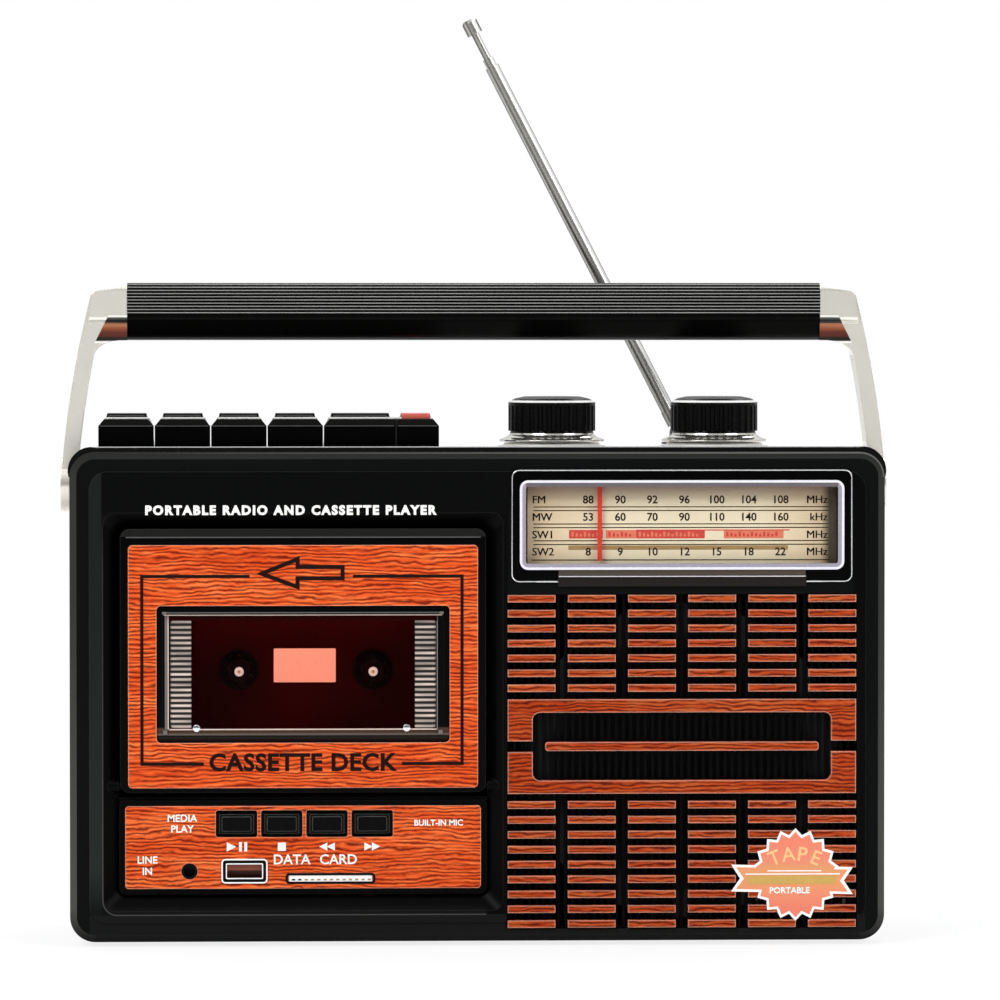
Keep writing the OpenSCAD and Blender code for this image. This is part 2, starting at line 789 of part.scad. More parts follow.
// Wood-faced bars, the split ring between them and the bar in the middle of the ring
module grille_slats() {
    ring_zc = grille_z0 + slats_low_h + slat_space + ring_h/2;
    split = 3.4;
    bar_gap = 4;
    bar_w = slats_w - 2*(ring_side + bar_gap);
    color(wood) {
        upright(y_slat, y_in)
            slat_field(grille_z0, slat_rows_low);
        upright(y_slat, y_in)
            slat_field(ring_zc + ring_h/2 + slat_space, slat_rows_top);
        upright(y_slat, y_in)
            difference() {
                translate([dial_x, ring_zc])
                    square([slats_w, ring_h], center = true);
                translate([dial_x, ring_zc])
                    rrect(slats_w - 2*ring_side, ring_h - 2*ring_edge, 2.4);
                translate([dial_x, ring_zc])
                    square([slats_w + cut, split], center = true);
            }
        panel(dial_x, ring_zc, bar_w, 2.8, 0.8, y_slat, y_in);
    }
}

// Dial
module dial_bezel() {
    color(gloss)
        difference() {
            union() {
                panel(dial_x, dial_zc, dial_w, dial_h, 2.5, y_front - 0.3, y_tray);
                panel(dial_x, dial_zc, dial_w + 2*dial_flange, dial_h + 2*dial_flange, 2.5, y_in, y_in + 1.2);
                panel(dial_x, dial_zc + 0.3, dial_window_w + 4.4, dial_window_h + 2.6, 2.4,
                    y_front - 0.7, y_in);
            }
            panel(dial_x, dial_zc + 0.3, dial_window_w, dial_window_h, 1.4, y_front - 2, y_in + cut);
            panel(dial_x, dial_zc + 0.3, dial_window_w + 4, dial_window_h + 4, 2, y_lens, y_in + cut);
            panel(dial_x, dial_zc, dial_w - 2*dial_wall, dial_h - 2*dial_wall, 1.4, y_in, y_tray + cut);
        }
}

module dial_lens() {
    color([0.85, 0.9, 0.95, 0.3])
        panel(dial_x, dial_zc + 0.3, dial_window_w + 4 - 2*fit_gap, dial_window_h + 4 - 2*fit_gap, 1.9,
            y_lens, y_in);
}

module dial_scale() {
    w = dial_w - 2*dial_wall - 2*fit_gap;
    z0 = dial_zc - dial_h/2 + dial_wall + fit_gap;
    color(cream)
        panel(dial_x, (z0 + scale_z1)/2, w, scale_z1 - z0, 1.4, y_scale, y_scale + scale_t);
}

// Pointer that rides on the upper edge of the scale
module dial_pointer() {
    needle_w = 1.4;
    saddle_w = 5;
    y_rear = y_scale + scale_t + run_gap;
    low = dial_zc - dial_window_h/2 + 1.6;
    color(red) {
        box(pointer_x - needle_w/2, pointer_x + needle_w/2, y_pointer, y_pointer + pointer_t, low,
            scale_z1 + run_gap + 0.9);
        box(pointer_x - saddle_w/2, pointer_x + saddle_w/2, y_pointer, y_rear + pointer_t,
            scale_z1 + run_gap, scale_z1 + run_gap + 0.9);
        box(pointer_x - saddle_w/2, pointer_x + saddle_w/2, y_rear, y_rear + pointer_t,
            scale_z1 - 4, scale_z1 + run_gap + 0.9);
    }
}

// Loudspeaker
module speaker_basket() {
    y0 = y_fins + 0.8;
    magnet_r = speaker_r*0.5;
    rim_t = 1.4;
    rim_w = 4.6;
    slot_w = speaker_r*0.24;
    y_neck = y0 + speaker_r*0.37;
    y_end = y0 + speaker_r*0.6;
    color(steel)
        difference() {
            turned_y(dial_x, speaker_z, [[speaker_r - rim_w - rim_t, y0], [speaker_r, y0],
                [speaker_r, y0 + rim_t], [speaker_r - rim_w, y0 + rim_t], [magnet_r - 2, y_neck],
                [magnet_r, y_neck], [magnet_r, y_end], [0, y_end], [0, y_neck + 1], [magnet_r - 4, y_neck]]);
            for (a = [0:60:300])
                translate([dial_x, 0, speaker_z])
                    rotate([0, a, 0])
                        box(-slot_w/2, slot_w/2, y0 + rim_w, y_neck - rim_w/2, magnet_r + 2, speaker_r);
        }
}

module speaker_cone() {
    cap_r = 13;
    color(grey)
        turned_y(dial_x, speaker_z, [[speaker_r, y_fins], [speaker_r, y_fins + 0.8],
            [speaker_r - 8, y_fins + 0.8], [cap_r + 1, y_fins + 15], [cap_r + 0.4, y_fins + 15.4],
            [0, y_fins + 12.6], [0, y_fins + 12], [cap_r, y_fins + 14.4], [speaker_r - 8.4, y_fins]]);
}

// Boards and controls under the deck
module radio_board() {
    color(green)
        difference() {
            box(board_x[0], board_x[1], board_y[0], board_y[1], board_z - board_t, board_z);
            for (x = [board_x[0] + 9, board_x[1] - 9])
                rod_along_z(x, (board_y[0] + board_y[1])/2, 1.6, board_z - board_t - cut, board_z + cut);
        }
}

module volume_control() {
    color(steel)
        difference() {
            union() {
                rod_along_z(volume_x, knob_y, 8.5, board_z, board_z + 7);
                rod_along_z(volume_x, knob_y, 4, board_z + 6, z_rear_top - wall - 0.5);
            }
            rod_along_z(volume_x, knob_y, volume_stem_r + shaft_gap, board_z + 5, z_rear_top);
        }
}

module tuning_capacitor() {
    half = 10;
    color([0.85, 0.83, 0.75])
        difference() {
            box(tuning_x - half, tuning_x + half, knob_y - half, knob_y + half,
                board_z, board_z + capacitor_h);
            rod_along_z(tuning_x, knob_y, 2 + shaft_gap,
                board_z + capacitor_h - 6, board_z + capacitor_h + cut);
        }
}

// Drum on the tuning shaft, with a groove for the cord that pulls the pointer
module tuning_drum() {
    color([0.9, 0.9, 0.86])
        difference() {
            union() {
                rod_along_z(tuning_x, knob_y, 2, drum_z - 5, drum_z + cut);
                rod_along_z(tuning_x, knob_y, drum_r + 0.8, drum_z, drum_z + drum_t);
                rod_along_z(tuning_x, knob_y, tuning_stem_r, drum_z, knob_z + 7);
            }
            translate([tuning_x, knob_y, drum_z + drum_t/2 - 0.5])
                difference() {
                    cylinder(r = drum_r + 3, h = 1);
                    cylinder(r = drum_r, h = 3, center = true);
                }
            for (a = [45:90:315])
                translate([tuning_x, knob_y, drum_z - cut])
                    rotate([0, 0, a])
                        translate([drum_r*0.58, 0, 0])
                            cylinder(r = drum_r*0.24, h = drum_t + 2*cut);
        }
}

module ferrite_aerial() {
    rod_rad = 4.5;
    rod_zc = board_z + rod_rad + 2;
    y = board_y[1] - 9;
    color([0.25, 0.22, 0.2]) {
        rod_along_x(y, rod_zc, rod_rad, board_x[0] + 9, board_x[1] - 9);
        for (x = [board_x[0] + 16, board_x[1] - 28])
            rod_along_x(y, rod_zc, rod_rad + 1, x, x + 14);
        for (x = [board_x[0] + 10, board_x[1] - 14])
            box(x, x + 4, y - 4, y + 4, board_z, rod_zc);
    }
}

// Media board with the front sockets on it
media_z0 = panel_z0 + panel_rim + 1.8;
media_z1 = panel_z0 + panel_h - panel_rim - 1.8;
y_media = y_floor + 8;
socket_z = panel_z0 + 7.3;
usb_x = bay_left + 39.4;
card_x = bay_left + 66.6;
jack_x = bay_left + 22;
button_z = panel_z0 + 22.3;
y_panel = y_floor - 1.6;
y_panel_in = y_floor - 0.4;

module media_board() {
    color(green)
        box(bay_left + 8, bay_right - 8, y_media, y_media + board_t, media_z0, media_z1);
    color(green)
        for (x = [bay_left + 12, bay_right - 12])
            rod_along_y(x, (media_z0 + media_z1)/2, 2, y_panel_in, y_media);
}

module usb_socket() {
    color(chrome) {
        difference() {
            panel(usb_x, socket_z, 13.2, 5.8, 0.6, y_panel - 0.3, y_media);
            panel(usb_x, socket_z, 12.4, 5, 0.4, y_panel - cut, y_media - 1.2);
        }
        box(usb_x - 5.6, usb_x + 5.6, y_panel + 1, y_media - 1, socket_z + 0.2, socket_z + 2);
    }
}

module card_slot() {
    color(chrome)
        difference() {
            panel(card_x, socket_z - 2.4, 28, 4, 0.4, y_panel + 1.2, y_media);
            box(card_x - 12.6, card_x + 12.6, y_panel, y_media - 1.2, socket_z - 3.7, socket_z - 1.1);
        }
}

module jack_socket() {
    color(grey)
        difference() {
            union() {
                box(jack_x - 4, jack_x + 4, y_panel_in, y_media, socket_z - 4, socket_z + 4);
                rod_along_y(jack_x, socket_z, 2.4, y_panel - 0.3, y_panel_in + cut);
            }
            rod_along_y(jack_x, socket_z, jack_r, y_panel - cut, y_media - 1.2);
        }
}

function button_x(i) = bay_left + button_in + i*button_pitch;

module control_panel() {
    w = bay_w - 2*panel_rim - 2*fit_gap;
    h = panel_h - 2*panel_rim - 2*fit_gap;
    color(wood)
        difference() {
            panel(bay_x, panel_zc, w, h, 1.1, y_panel, y_panel_in);
            for (i = [0:3])
                panel(button_x(i), button_z, button_hole_w, button_hole_h, 0.8,
                    y_panel - cut, y_panel_in + cut);
            panel(usb_x, socket_z, 13.2 + 2*fit_gap, 5.8 + 2*fit_gap, 0.6, y_panel - cut, y_panel_in + cut);
            box(card_x - 13.2, card_x + 13.2, y_panel - cut, y_panel_in + cut, socket_z - 4, socket_z - 0.8);
            rod_along_y(jack_x, socket_z, 2.4 + fit_gap, y_panel - cut, y_panel_in + cut);
        }
}

// Button with a bevelled cap, a flange behind the panel and a stem to the board
module media_button(i) {
    cap_w = button_hole_w - 2*button_gap;
    cap_h = button_hole_h - 2*button_gap;
    flange_y = y_panel_in + run_gap;
    color(grey) {
        panel(button_x(i), button_z, cap_w, cap_h, 0.7, y_panel - 0.9, flange_y + 1);
        panel(button_x(i), button_z, cap_w - 1.6, cap_h - 1.6, 0.5, y_panel - 1.4, y_panel);
        panel(button_x(i), button_z, button_hole_w + 0.6, cap_h, 0.7, flange_y, flange_y + 1.2);
        rod_along_y(button_x(i), button_z, 1.5, flange_y + 1, y_media - 1.2);
    }
}

module media_button_1() { media_button(0); }
module media_button_2() { media_button(1); }
module media_button_3() { media_button(2); }
module media_button_4() { media_button(3); }

// Cassette door
module door_frame() {
    w = bay_w - 2*run_gap;
    color(gloss)
        difference() {
            union() {
                panel(bay_x, door_zc, w, door_h, 3, y_door, y_door_in);
                rod_along_x(hinge_y, hinge_z, hinge_r, bay_left - hinge_l, bay_right + hinge_l);
            }
            panel(bay_x, (wood_z0 + wood_z1)/2, bay_w - 2*door_rim, wood_z1 - wood_z0, 1.5,
                y_door - cut, y_door + foil_t);
            window_cone();
            panel(bay_x, window_z, pane_w, pane_h, 1.5, y_pane - cut, y_door_in + cut);
            panel(bay_x, window_z, pane_w + 2*window_lip, pane_h + 2*window_lip, 2,
                y_door_in - 1, y_door_in + cut);
        }
}

// Sloped edge round the window, cut into the door
module window_cone() {
    slab = 0.2;
    hull() {
        panel(bay_x, window_z, window_w, window_h, 1.5, y_door - slab, y_door);
        panel(bay_x, window_z, pane_w, pane_h, 1.5, y_pane - slab, y_pane);
    }
}

module door_wood_panel() {
    color(wood)
        difference() {
            panel(bay_x, (wood_z0 + wood_z1)/2, bay_w - 2*door_rim - 2*fit_gap, wood_z1 - wood_z0 - 2*fit_gap,
                1.4, y_door, y_door + foil_t);
            panel(bay_x, window_z, window_w, window_h, 1.5, y_door - cut, y_door_in);
        }
}

// Tinted window with a lip behind the door and a ribbed strip at each end of its front
module door_window() {
    strip_w = 6;
    pitch = pane_h/window_ribs;
    rib = 0.5;
    color([0.35, 0.02, 0.02, 0.5]) {
        panel(bay_x, window_z, pane_w - 2*fit_gap, pane_h - 2*fit_gap, 1.4, y_pane + rib, y_door_in - 0.5);
        panel(bay_x, window_z, pane_w + 2*window_lip - 2*fit_gap, pane_h + 2*window_lip - 2*fit_gap, 1.9,
            y_door_in - 1, y_door_in);
        for (side = [-1, 1], i = [1:window_ribs - 2])
            translate([bay_x + side*(pane_w/2 - strip_w/2 - 0.4), y_pane + rib/2 + 0.1,
                window_z - pane_h/2 + (i + 0.5)*pitch])
                cube([strip_w, rib + 0.2, pitch*0.5], center = true);
    }
}

// Channels and shelf behind the door that carry the cassette
module cassette_holder() {
    x0 = hub_x - cassette_w/2 - 0.4;
    x1 = hub_x + cassette_w/2 + 0.4;
    shelf = hub_z + hub_to_edge - cassette_h - run_gap;
    lip = 4;
    color(grey)
        difference() {
            box(x0 - holder_wall, x1 + holder_wall, y_door_in, y_holder_back, shelf - holder_wall,
                shelf + holder_h);
            box(x0, x1, y_door_in - cut, y_holder_back - holder_wall, shelf, shelf + holder_h + cut);
            box(x0 + lip, x1 - lip, y_door_in - cut, y_holder_back + cut,
                shelf + lip, shelf + holder_h + cut);
        }
}

// Tape mechanism
module tape_chassis() {
    rail_z0 = chassis_z1 - 1;
    rail_z1 = rod_z - 3.5;
    bracket_z = [capstan_z - flywheel_r - 7, capstan_z + flywheel_r + 7];
    y_strap = y_belt + belt_w + 2.5;
    motor_posts = [motor_z - 11, motor_z + 11];
    color(steel)
        difference() {
            union() {
                box(bay_left + 2, bay_right - 2, y_chassis, y_chassis_back, chassis_z0, chassis_z1);
                box(cheek_xs[0], cheek_xs[1] + cheek_t, y_chassis, y_chassis_back, rail_z0, rail_z1);
                for (x = cheek_xs)
                    box(x, x + cheek_t, y_chassis, rod_y + 3, rail_z0 + 3, rod_z + 1.8);
                rod_along_x(rod_y, rod_z, rod_r, cheek_xs[0], cheek_xs[1] + cheek_t);
                for (z = bracket_z)
                    rod_along_y(capstan_x, z, 2.5, y_chassis, y_strap + 1.6);
                box(capstan_x - 4, capstan_x + 4, y_strap, y_strap + 1.6, bracket_z[0] - 3, bracket_z[1] + 3);
                for (z = motor_posts)
                    rod_along_y(motor_x + 17, z, 2.5, y_chassis, y_motor);
                box(motor_x - 13, motor_x + 20, y_motor - 1.6, y_motor, motor_z - 14, motor_z + 14);
                for (x = [head_plate_x0 + 4, head_plate_x1 - 4]) {
                    rod_along_y(x, head_pin_zs, 1.5, y_head - run_gap - 0.8, y_chassis_back);
                    rod_along_y(x, head_pin_zs, 2.6, y_head - run_gap - 0.8, y_head - run_gap);
                }
            }
            for (side = [-1, 1])
                rod_along_y(hub_x + side*hub_pitch/2, hub_z, 1.5 + shaft_gap,
                    y_chassis - cut, y_chassis_back + cut);
            rod_along_y(capstan_x, capstan_z, capstan_r + shaft_gap, y_chassis - cut, y_chassis_back + cut);
            rod_along_y(motor_x, motor_z, pulley_r + 1, y_motor - 3, y_motor + cut);
        }
}

// Reel spindle: shaft, collar, drive disc, splined hub and tip
module reel_spindle(x) {
    y_disc = y_chassis - run_gap;
    color(grey) {
        rod_along_y(x, hub_z, 1.5, y_disc - 12.5, y_chassis_back + 1.8);
        rod_along_y(x, hub_z, 3, y_chassis_back + run_gap, y_chassis_back + 1.8);
        rod_along_y(x, hub_z, 6.3, y_disc - 2, y_disc);
        rod_along_y(x, hub_z, 3.6, y_disc - 10.5, y_disc - 1);
        for (a = [0:60:300])
            translate([x, 0, hub_z])
                rotate([0, a, 0])
                    box(-0.6, 0.6, y_disc - 9, y_disc - 1, 2, 4.8);
    }
}

module take_up_spindle() { reel_spindle(hub_x - hub_pitch/2); }
module supply_spindle() { reel_spindle(hub_x + hub_pitch/2); }

// Flywheel with the capstan as its shaft
module flywheel() {
    y0 = y_belt - 1;
    y1 = y_belt + belt_w + 1;
    color(brass)
        difference() {
            union() {
                rod_along_y(capstan_x, capstan_z, flywheel_r + 1, y0, y1);
                rod_along_y(capstan_x, capstan_z, capstan_r, y_chassis - 12, y1 + 1.2);
                rod_along_y(capstan_x, capstan_z, 4, y_chassis_back + run_gap, y0 + cut);
            }
            translate([capstan_x, y_belt + belt_w + 0.4, capstan_z])
                rotate([90, 0, 0])
                    difference() {
                        cylinder(r = flywheel_r + 3, h = belt_w + 0.8);
                        translate([0, 0, -cut])
                            cylinder(r = flywheel_r, h = belt_w + 0.8 + 2*cut);
                    }
        }
}

module motor_pulley() {
    color(brass)
        difference() {
            union() {
                rod_along_y(motor_x, motor_z, pulley_r + 0.8, y_belt - 1, y_belt + belt_w + 1);
                rod_along_y(motor_x, motor_z, 1, y_belt, y_motor + 6);
            }
            translate([motor_x, y_belt + belt_w + 0.4, motor_z])
                rotate([90, 0, 0])
                    difference() {
                        cylinder(r = pulley_r + 3, h = belt_w + 0.8);
                        translate([0, 0, -cut])
                            cylinder(r = pulley_r, h = belt_w + 0.8 + 2*cut);
                    }
        }
}

module belt_loop(extra) {
    hull() {
        translate([capstan_x, capstan_z])
            circle(flywheel_r + extra, $fn = 48);
        translate([motor_x, motor_z])
            circle(pulley_r + extra, $fn = 48);
    }
}

module drive_belt() {
    color(black)
        upright(y_belt, y_belt + belt_w)
            difference() {
                belt_loop(run_gap + belt_t);
                belt_loop(run_gap);
            }
}

module tape_motor() {
    color(steel)
        difference() {
            union() {
                rod_along_y(motor_x, motor_z, motor_r, y_motor, y_motor + motor_l);
                rod_along_y(motor_x, motor_z, 4, y_motor - 1.2, y_motor + cut);
            }
            rod_along_y(motor_x, motor_z, 1 + shaft_gap, y_motor - 2, y_motor + 8);
        }
}

// Sliding plate with the two guide slots, carrying the roller's pin
module head_plate() {
    roller_z = capstan_z + capstan_r + roller_r + run_gap + head_travel;
    color(steel)
        difference() {
            union() {
                box(head_plate_x0, head_plate_x1, y_head, y_chassis - run_gap, head_z, head_z + head_plate_h);
                rod_along_y(capstan_x, roller_z, 1, y_head - 9, y_head + cut);
                rod_along_y(capstan_x, roller_z, 2, y_head - 9.6, y_head - 8.8);
            }
            for (x = [head_plate_x0 + 4, head_plate_x1 - 4])
                for (z = [head_pin_zs, head_pin_zs + head_travel])
                    rod_along_y(x, z, 1.5 + run_gap, y_head - cut, y_chassis);
            for (x = [head_plate_x0 + 4, head_plate_x1 - 4])
                box(x - 1.5 - run_gap, x + 1.5 + run_gap, y_head - cut, y_chassis,
                    head_pin_zs, head_pin_zs + head_travel);
        }
}

module pinch_roller() {
    roller_z = capstan_z + capstan_r + roller_r + run_gap + head_travel;
    color([0.12, 0.12, 0.12])
        difference() {
            rod_along_y(capstan_x, roller_z, roller_r, y_head - 8.2, y_head - 1.2);
            rod_along_y(capstan_x, roller_z, 1 + shaft_gap, y_head - 10, y_head);
        }
}

// Record head in the middle and erase head beside it
module tape_heads() {
    color(chrome) {
        difference() {
            box(hub_x - 6.5, hub_x + 6.5, y_head - 11, y_head, head_z, head_z + 10);
            translate([hub_x, y_head - 12, head_z - 5.2])
                rotate([-90, 0, 0])
                    difference() {
                        translate([-10, -6.2, 0])
                            cube([20, 4, 14]);
                        translate([0, 7, 0])
                            cylinder(r = 12.2, h = 14);
                    }
        }
        box(hub_x + 13, hub_x + 20, y_head - 10, y_head, head_z, head_z + 7);
    }
}

// Piano key: side outline crossed with front outline, hollow below, hung on the rod.
// A side given as 0 stays upright, where two keys meet in one front
module tape_key(x0, w, left = 1, right = 1) {
    zk = z_deck + key_h - pad_h;
    skirt = z_top - 5.2;
    edge = 1.1;
    slant = 0.7;
    xl = x0 + slant*left;
    xr = x0 + w - slant*right;
    pad_y = key_y + key_d*0.45;
    color(black)
        difference() {
            union() {
                intersection() {
                    sideways(x0, x0 + w)
                        polygon([[key_y, skirt], [key_y, zk - 2], [key_y + 1.6, zk], [pad_y, zk],
                            [pad_y + 0.6, zk + pad_h], [key_y + key_d - 0.6, zk + pad_h],
                            [key_y + key_d, zk + pad_h - 0.6], [key_y + key_d, rod_z], [rod_y - 3.4, rod_z]]);
                    upright(key_y - cut, key_y + key_d + cut)
                        polygon([[x0, rod_z - 4], [x0 + w, rod_z - 4], [x0 + w, z_deck], [xr, zk - 2],
                            [xr - edge*right, zk], [xr - edge - 0.4, zk], [xr - edge - 0.8, zk + pad_h + 0.1],
                            [xl + edge + 0.8, zk + pad_h + 0.1], [xl + edge + 0.4, zk],
                            [xl + edge*left, zk], [xl, zk - 2], [x0, z_deck]]);
                }
                rod_along_x(rod_y, rod_z, 3.2, x0, x0 + w);
            }
            box(x0 + 1.6, x0 + w - 1.6, key_y + 1.8, rod_y - 4.6, rod_z - 8, zk - 2.2);
            rod_along_x(rod_y, rod_z, rod_r + shaft_gap, x0 - cut, x0 + w + cut);
        }
}

module pause_key() { tape_key(keys_x, key_w); }
module stop_key() { tape_key(keys_x + key_w + key_gap, key_w); }
module forward_key() { tape_key(keys_x + 2*(key_w + key_gap), key_w); }
module rewind_key() { tape_key(keys_x + 3*(key_w + key_gap), key_w); }
module play_key() { tape_key(keys_x + 4*(key_w + key_gap), play_w, right = 0); }
module record_key() { tape_key(keys_x + 4*(key_w + key_gap) + play_w + key_gap, record_w, left = 0); }

// Knob with a flared skirt over the deck, a grooved side and a domed top
module knob_body(x) {
    skirt_h = 3.4;
    groove_top = knob_h - 2.8;
    translate([x, knob_y, knob_z]) {
        rotate_extrude()
            polygon([[0, 0], [skirt_r, 0], [skirt_r, 0.6], [knob_r + 0.8, 1.3], [knob_r - 0.4, 2.2],
                [knob_r - 0.8, skirt_h + 0.2], [0, skirt_h + 0.2]]);
        translate([0, 0, skirt_h])
            linear_extrude(groove_top - skirt_h)
                difference() {
                    circle(knob_r);
                    for (i = [0:knob_grooves - 1])
                        rotate(i*360/knob_grooves)
                            translate([knob_r + 0.1, 0])
                                circle(knob_groove_r, $fn = 16);
                }
        translate([0, 0, groove_top])
            cylinder(r = knob_r, h = 1);
        translate([0, 0, groove_top + 1])
            cylinder(r1 = knob_r, r2 = knob_r - 2.2, h = 1.2);
        translate([0, 0, groove_top + 2.2])
            cylinder(r1 = knob_r - 2.2, r2 = knob_r - 5, h = 0.6);
    }
}

module volume_knob() {
    color(gloss)
        union() {
            knob_body(volume_x);
            rod_along_z(volume_x, knob_y, volume_stem_r, board_z + 6, knob_z + cut);
        }
}

module tuning_knob() {
    color(gloss)
        difference() {
            knob_body(tuning_x);
            rod_along_z(tuning_x, knob_y, tuning_stem_r + shaft_gap, knob_z - cut, knob_z + 7);
        }
}

// Handle
function arm_outer_x(z) = arm_x - pow(z - arm_wide_z, 2)/(2*arm_curve_r);
function arm_inner_x(z) = arm_outer_x(z) - arm_t;

// Section of the grip: broad above, drawn in below
module grip_section() {
    hull() {
        translate([0, grip_zc + grip_h*(1 - grip_straight)/2])
            rrect(grip_d, grip_h*grip_straight, grip_edge_r, $fn = 32);
        translate([0, grip_z0 + grip_h/3])
            circle(grip_h/3, $fn = 32);
    }
}

module handle_grip() {
    side_ribs = floor((grip_h*grip_straight - 2*grip_edge_r)/grip_rib_pitch);
    top_ribs = floor((grip_d - 2*grip_edge_r)/grip_rib_pitch);
    color(black)
        sideways(-grip_half, grip_half)
            union() {
                grip_section();
                for (side = [-1, 1], i = [0:side_ribs - 1])
                    translate([side*grip_d/2, grip_z0 + grip_h - grip_edge_r - i*grip_rib_pitch])
                        circle(grip_rib_r, $fn = 16);
                for (i = [0:top_ribs])
                    translate([(i - top_ribs/2)*grip_rib_pitch, grip_z0 + grip_h])
                        circle(grip_rib_r, $fn = 16);
            }
}

module arm_strip() {
    low = pivot_z;
    high = grip_z0 + grip_h - 3.4;
    intersection() {
        translate([arm_x - arm_curve_r, arm_wide_z])
            difference() {
                circle(arm_curve_r, $fn = 720);
                circle(arm_curve_r - arm_t, $fn = 720);
            }
        translate([grip_half, low])
            square([arm_x - grip_half + cut, high - low]);
    }
}

module arm_corner() {
    z0 = grip_z0;
    z1 = grip_z0 + grip_h;
    drop = 7;
    x0 = grip_half + 2.4;
    x1 = arm_inner_x(z0 - drop);
    fillet = [for (a = [0:15:90]) [x0 + (x1 - x0)*sin(a), z0 - drop*(1 - cos(a))]];
    polygon(concat([[grip_half, z0]], fillet, [[x1 + arm_t/2, z0 - drop],
        [arm_outer_x(z1 - 3.4) - 0.4, z1 - 3.4], [arm_outer_x(z1 - 3.4) - 1.6, z1 - 2.2],
        [grip_half, z1 - 0.8]]));
}

module handle_arm() {
    seat = arm_inner_x(pivot_z);
    difference() {
        union() {
            upright(-arm_w/2, arm_w/2)
                arm_strip();
            rod_along_x(0, pivot_z, arm_end_r, seat, seat + arm_t);
            intersection() {
                upright(-grip_d, grip_d)
                    arm_corner();
                union() {
                    sideways(grip_half, arm_x)
                        grip_section();
                    box(grip_half, arm_x, -arm_w/2, arm_w/2, grip_z0 - 8, grip_z0 + grip_h/2);
                }
            }
        }
        rod_along_x(0, pivot_z, pivot_r + shaft_gap, seat - cut, seat + arm_t + cut);
        rod_along_x(0, pivot_z, pivot_r + 1.2 + run_gap,
            seat + arm_t - 1.6 - run_gap - 0.2, seat + arm_t + cut);
    }
}

module handle_arms() {
    color(chrome) {
        handle_arm();
        mirror([1, 0, 0])
            handle_arm();
    }
}

// Antenna
ear_gap = 1.6;
ear_t = 2.2;
ear_r = 3.2;

module antenna_base() {
    collar_z = z_deck + run_gap;
    color(chrome) {
        rod_along_z(antenna_x, antenna_y, antenna_bore_r, z_rear_top - 7, collar_z + 0.4);
        rod_along_z(antenna_x, antenna_y, antenna_bore_r + 1.4, z_rear_top - 7.8, z_rear_top - 6 - run_gap);
        rod_along_z(antenna_x, antenna_y, antenna_bore_r + 2, collar_z, collar_z + 0.7);
        difference() {
            for (side = [-1, 1])
                translate([antenna_x, antenna_y + side*(ear_gap + ear_t/2), 0])
                    union() {
                        rod_along_y(0, tilt_z, ear_r, -ear_t/2, ear_t/2);
                        box(-ear_r, ear_r, -ear_t/2, ear_t/2, collar_z, tilt_z);
                    }
            rod_along_z(antenna_x, antenna_y, 20, collar_z - 20, collar_z);
        }
        rod_along_y(antenna_x, tilt_z, 1.2, antenna_y - ear_gap - ear_t, antenna_y + ear_gap + ear_t);
    }
}

// Local frame of the leaning antenna, with its tilt pin at the origin
module leaning() {
    translate([antenna_x, antenna_y, tilt_z])
        rotate([0, -antenna_lean, 0])
            children();
}

tongue_r = 2.6;
tube_start = 3.6;

module antenna_tube() {
    tongue = ear_gap - 0.1;
    color(chrome)
        leaning()
            difference() {
                union() {
                    rod_along_y(0, 0, tongue_r, -tongue, tongue);
                    box(-tongue, tongue, -tongue, tongue, 0, tube_start + 2);
                    cylinder_between(tube_r, tube_start, tube_l);
                    cylinder_between(tube_r + 0.2, tube_start, tube_start + 5);
                }
                rod_along_y(0, 0, 1.2 + shaft_gap, -5, 5);
                cylinder_between(tube_r - tube_wall, tube_start + 3, tube_l + cut);
            }
}

module cylinder_between(r, s0, s1) {
    translate([0, 0, s0])
        cylinder(r = r, h = s1 - s0);
}

section_r = tube_r - tube_wall - shaft_gap;
rod_tip_r = section_r - tube_wall - shaft_gap - 0.1;

module antenna_section() {
    color(chrome)
        leaning()
            difference() {
                cylinder_between(section_r, tube_start + 5, tube_l + 3);
                cylinder_between(rod_tip_r + shaft_gap, tube_start + 6, tube_l + 4);
            }
}

module antenna_tip() {
    cap_l = 5;
    cap_r = 2.6;
    color(chrome)
        leaning()
            union() {
                cylinder_between(rod_tip_r, tube_start + 8, tube_l + tip_l - cap_l + cut);
                cylinder_between(cap_r, tube_l + tip_l - cap_l, tube_l + tip_l - 0.8);
                translate([0, 0, tube_l + tip_l - 0.8])
                    cylinder(r1 = cap_r, r2 = cap_r - 0.8, h = 0.8);
            }
}

// Mains and batteries
module power_transformer() {
    core = 18;
    core_h = 30;
    coil = 8;
    ear = 6;
    ear_t = 1.5;
    x0 = trough_w/2 + 2*ear;
    x1 = screw_x - tunnel_r - ear/2;
    y0 = y_inner_back - core - 2*coil - 2;
    yc = y0 + coil + core/2;
    z0 = z_low + wall;
    color(steel) {
        box(x0, x1, yc - core/2, yc + core/2, z0 + ear_t - 0.1, z0 + core_h);
        box(x0 - ear, x1 + ear, yc - 5, yc + 5, z0, z0 + ear_t);
        panel((x0 + x1)/2, z0 + core_h/2 + 0.7, (x1 - x0)*0.65, core_h - 10, 2, y0, yc + core/2 + coil);
    }
}

module mains_inlet() {
    depth = 15;
    flange = 2;
    color(grey) {
        difference() {
            union() {
                panel(inlet_x, inlet_z, inlet_w, inlet_h, 2, y_back - depth, y_back);
                panel(inlet_x, inlet_z, inlet_w + 2*flange, inlet_h + 2*flange, 2,
                    y_inner_back - flange, y_inner_back);
            }
            for (side = [-1, 1])
                rod_along_y(inlet_x + side*4, inlet_z, 3.6, y_back - depth + 3, y_back + cut);
            box(inlet_x - 4, inlet_x + 4, y_back - depth + 3, y_back + cut, inlet_z - 3, inlet_z + 3);
        }
        for (side = [-1, 1])
            rod_along_y(inlet_x + side*4, inlet_z, 1.1, y_back - depth + 2, y_back - 2);
    }
}

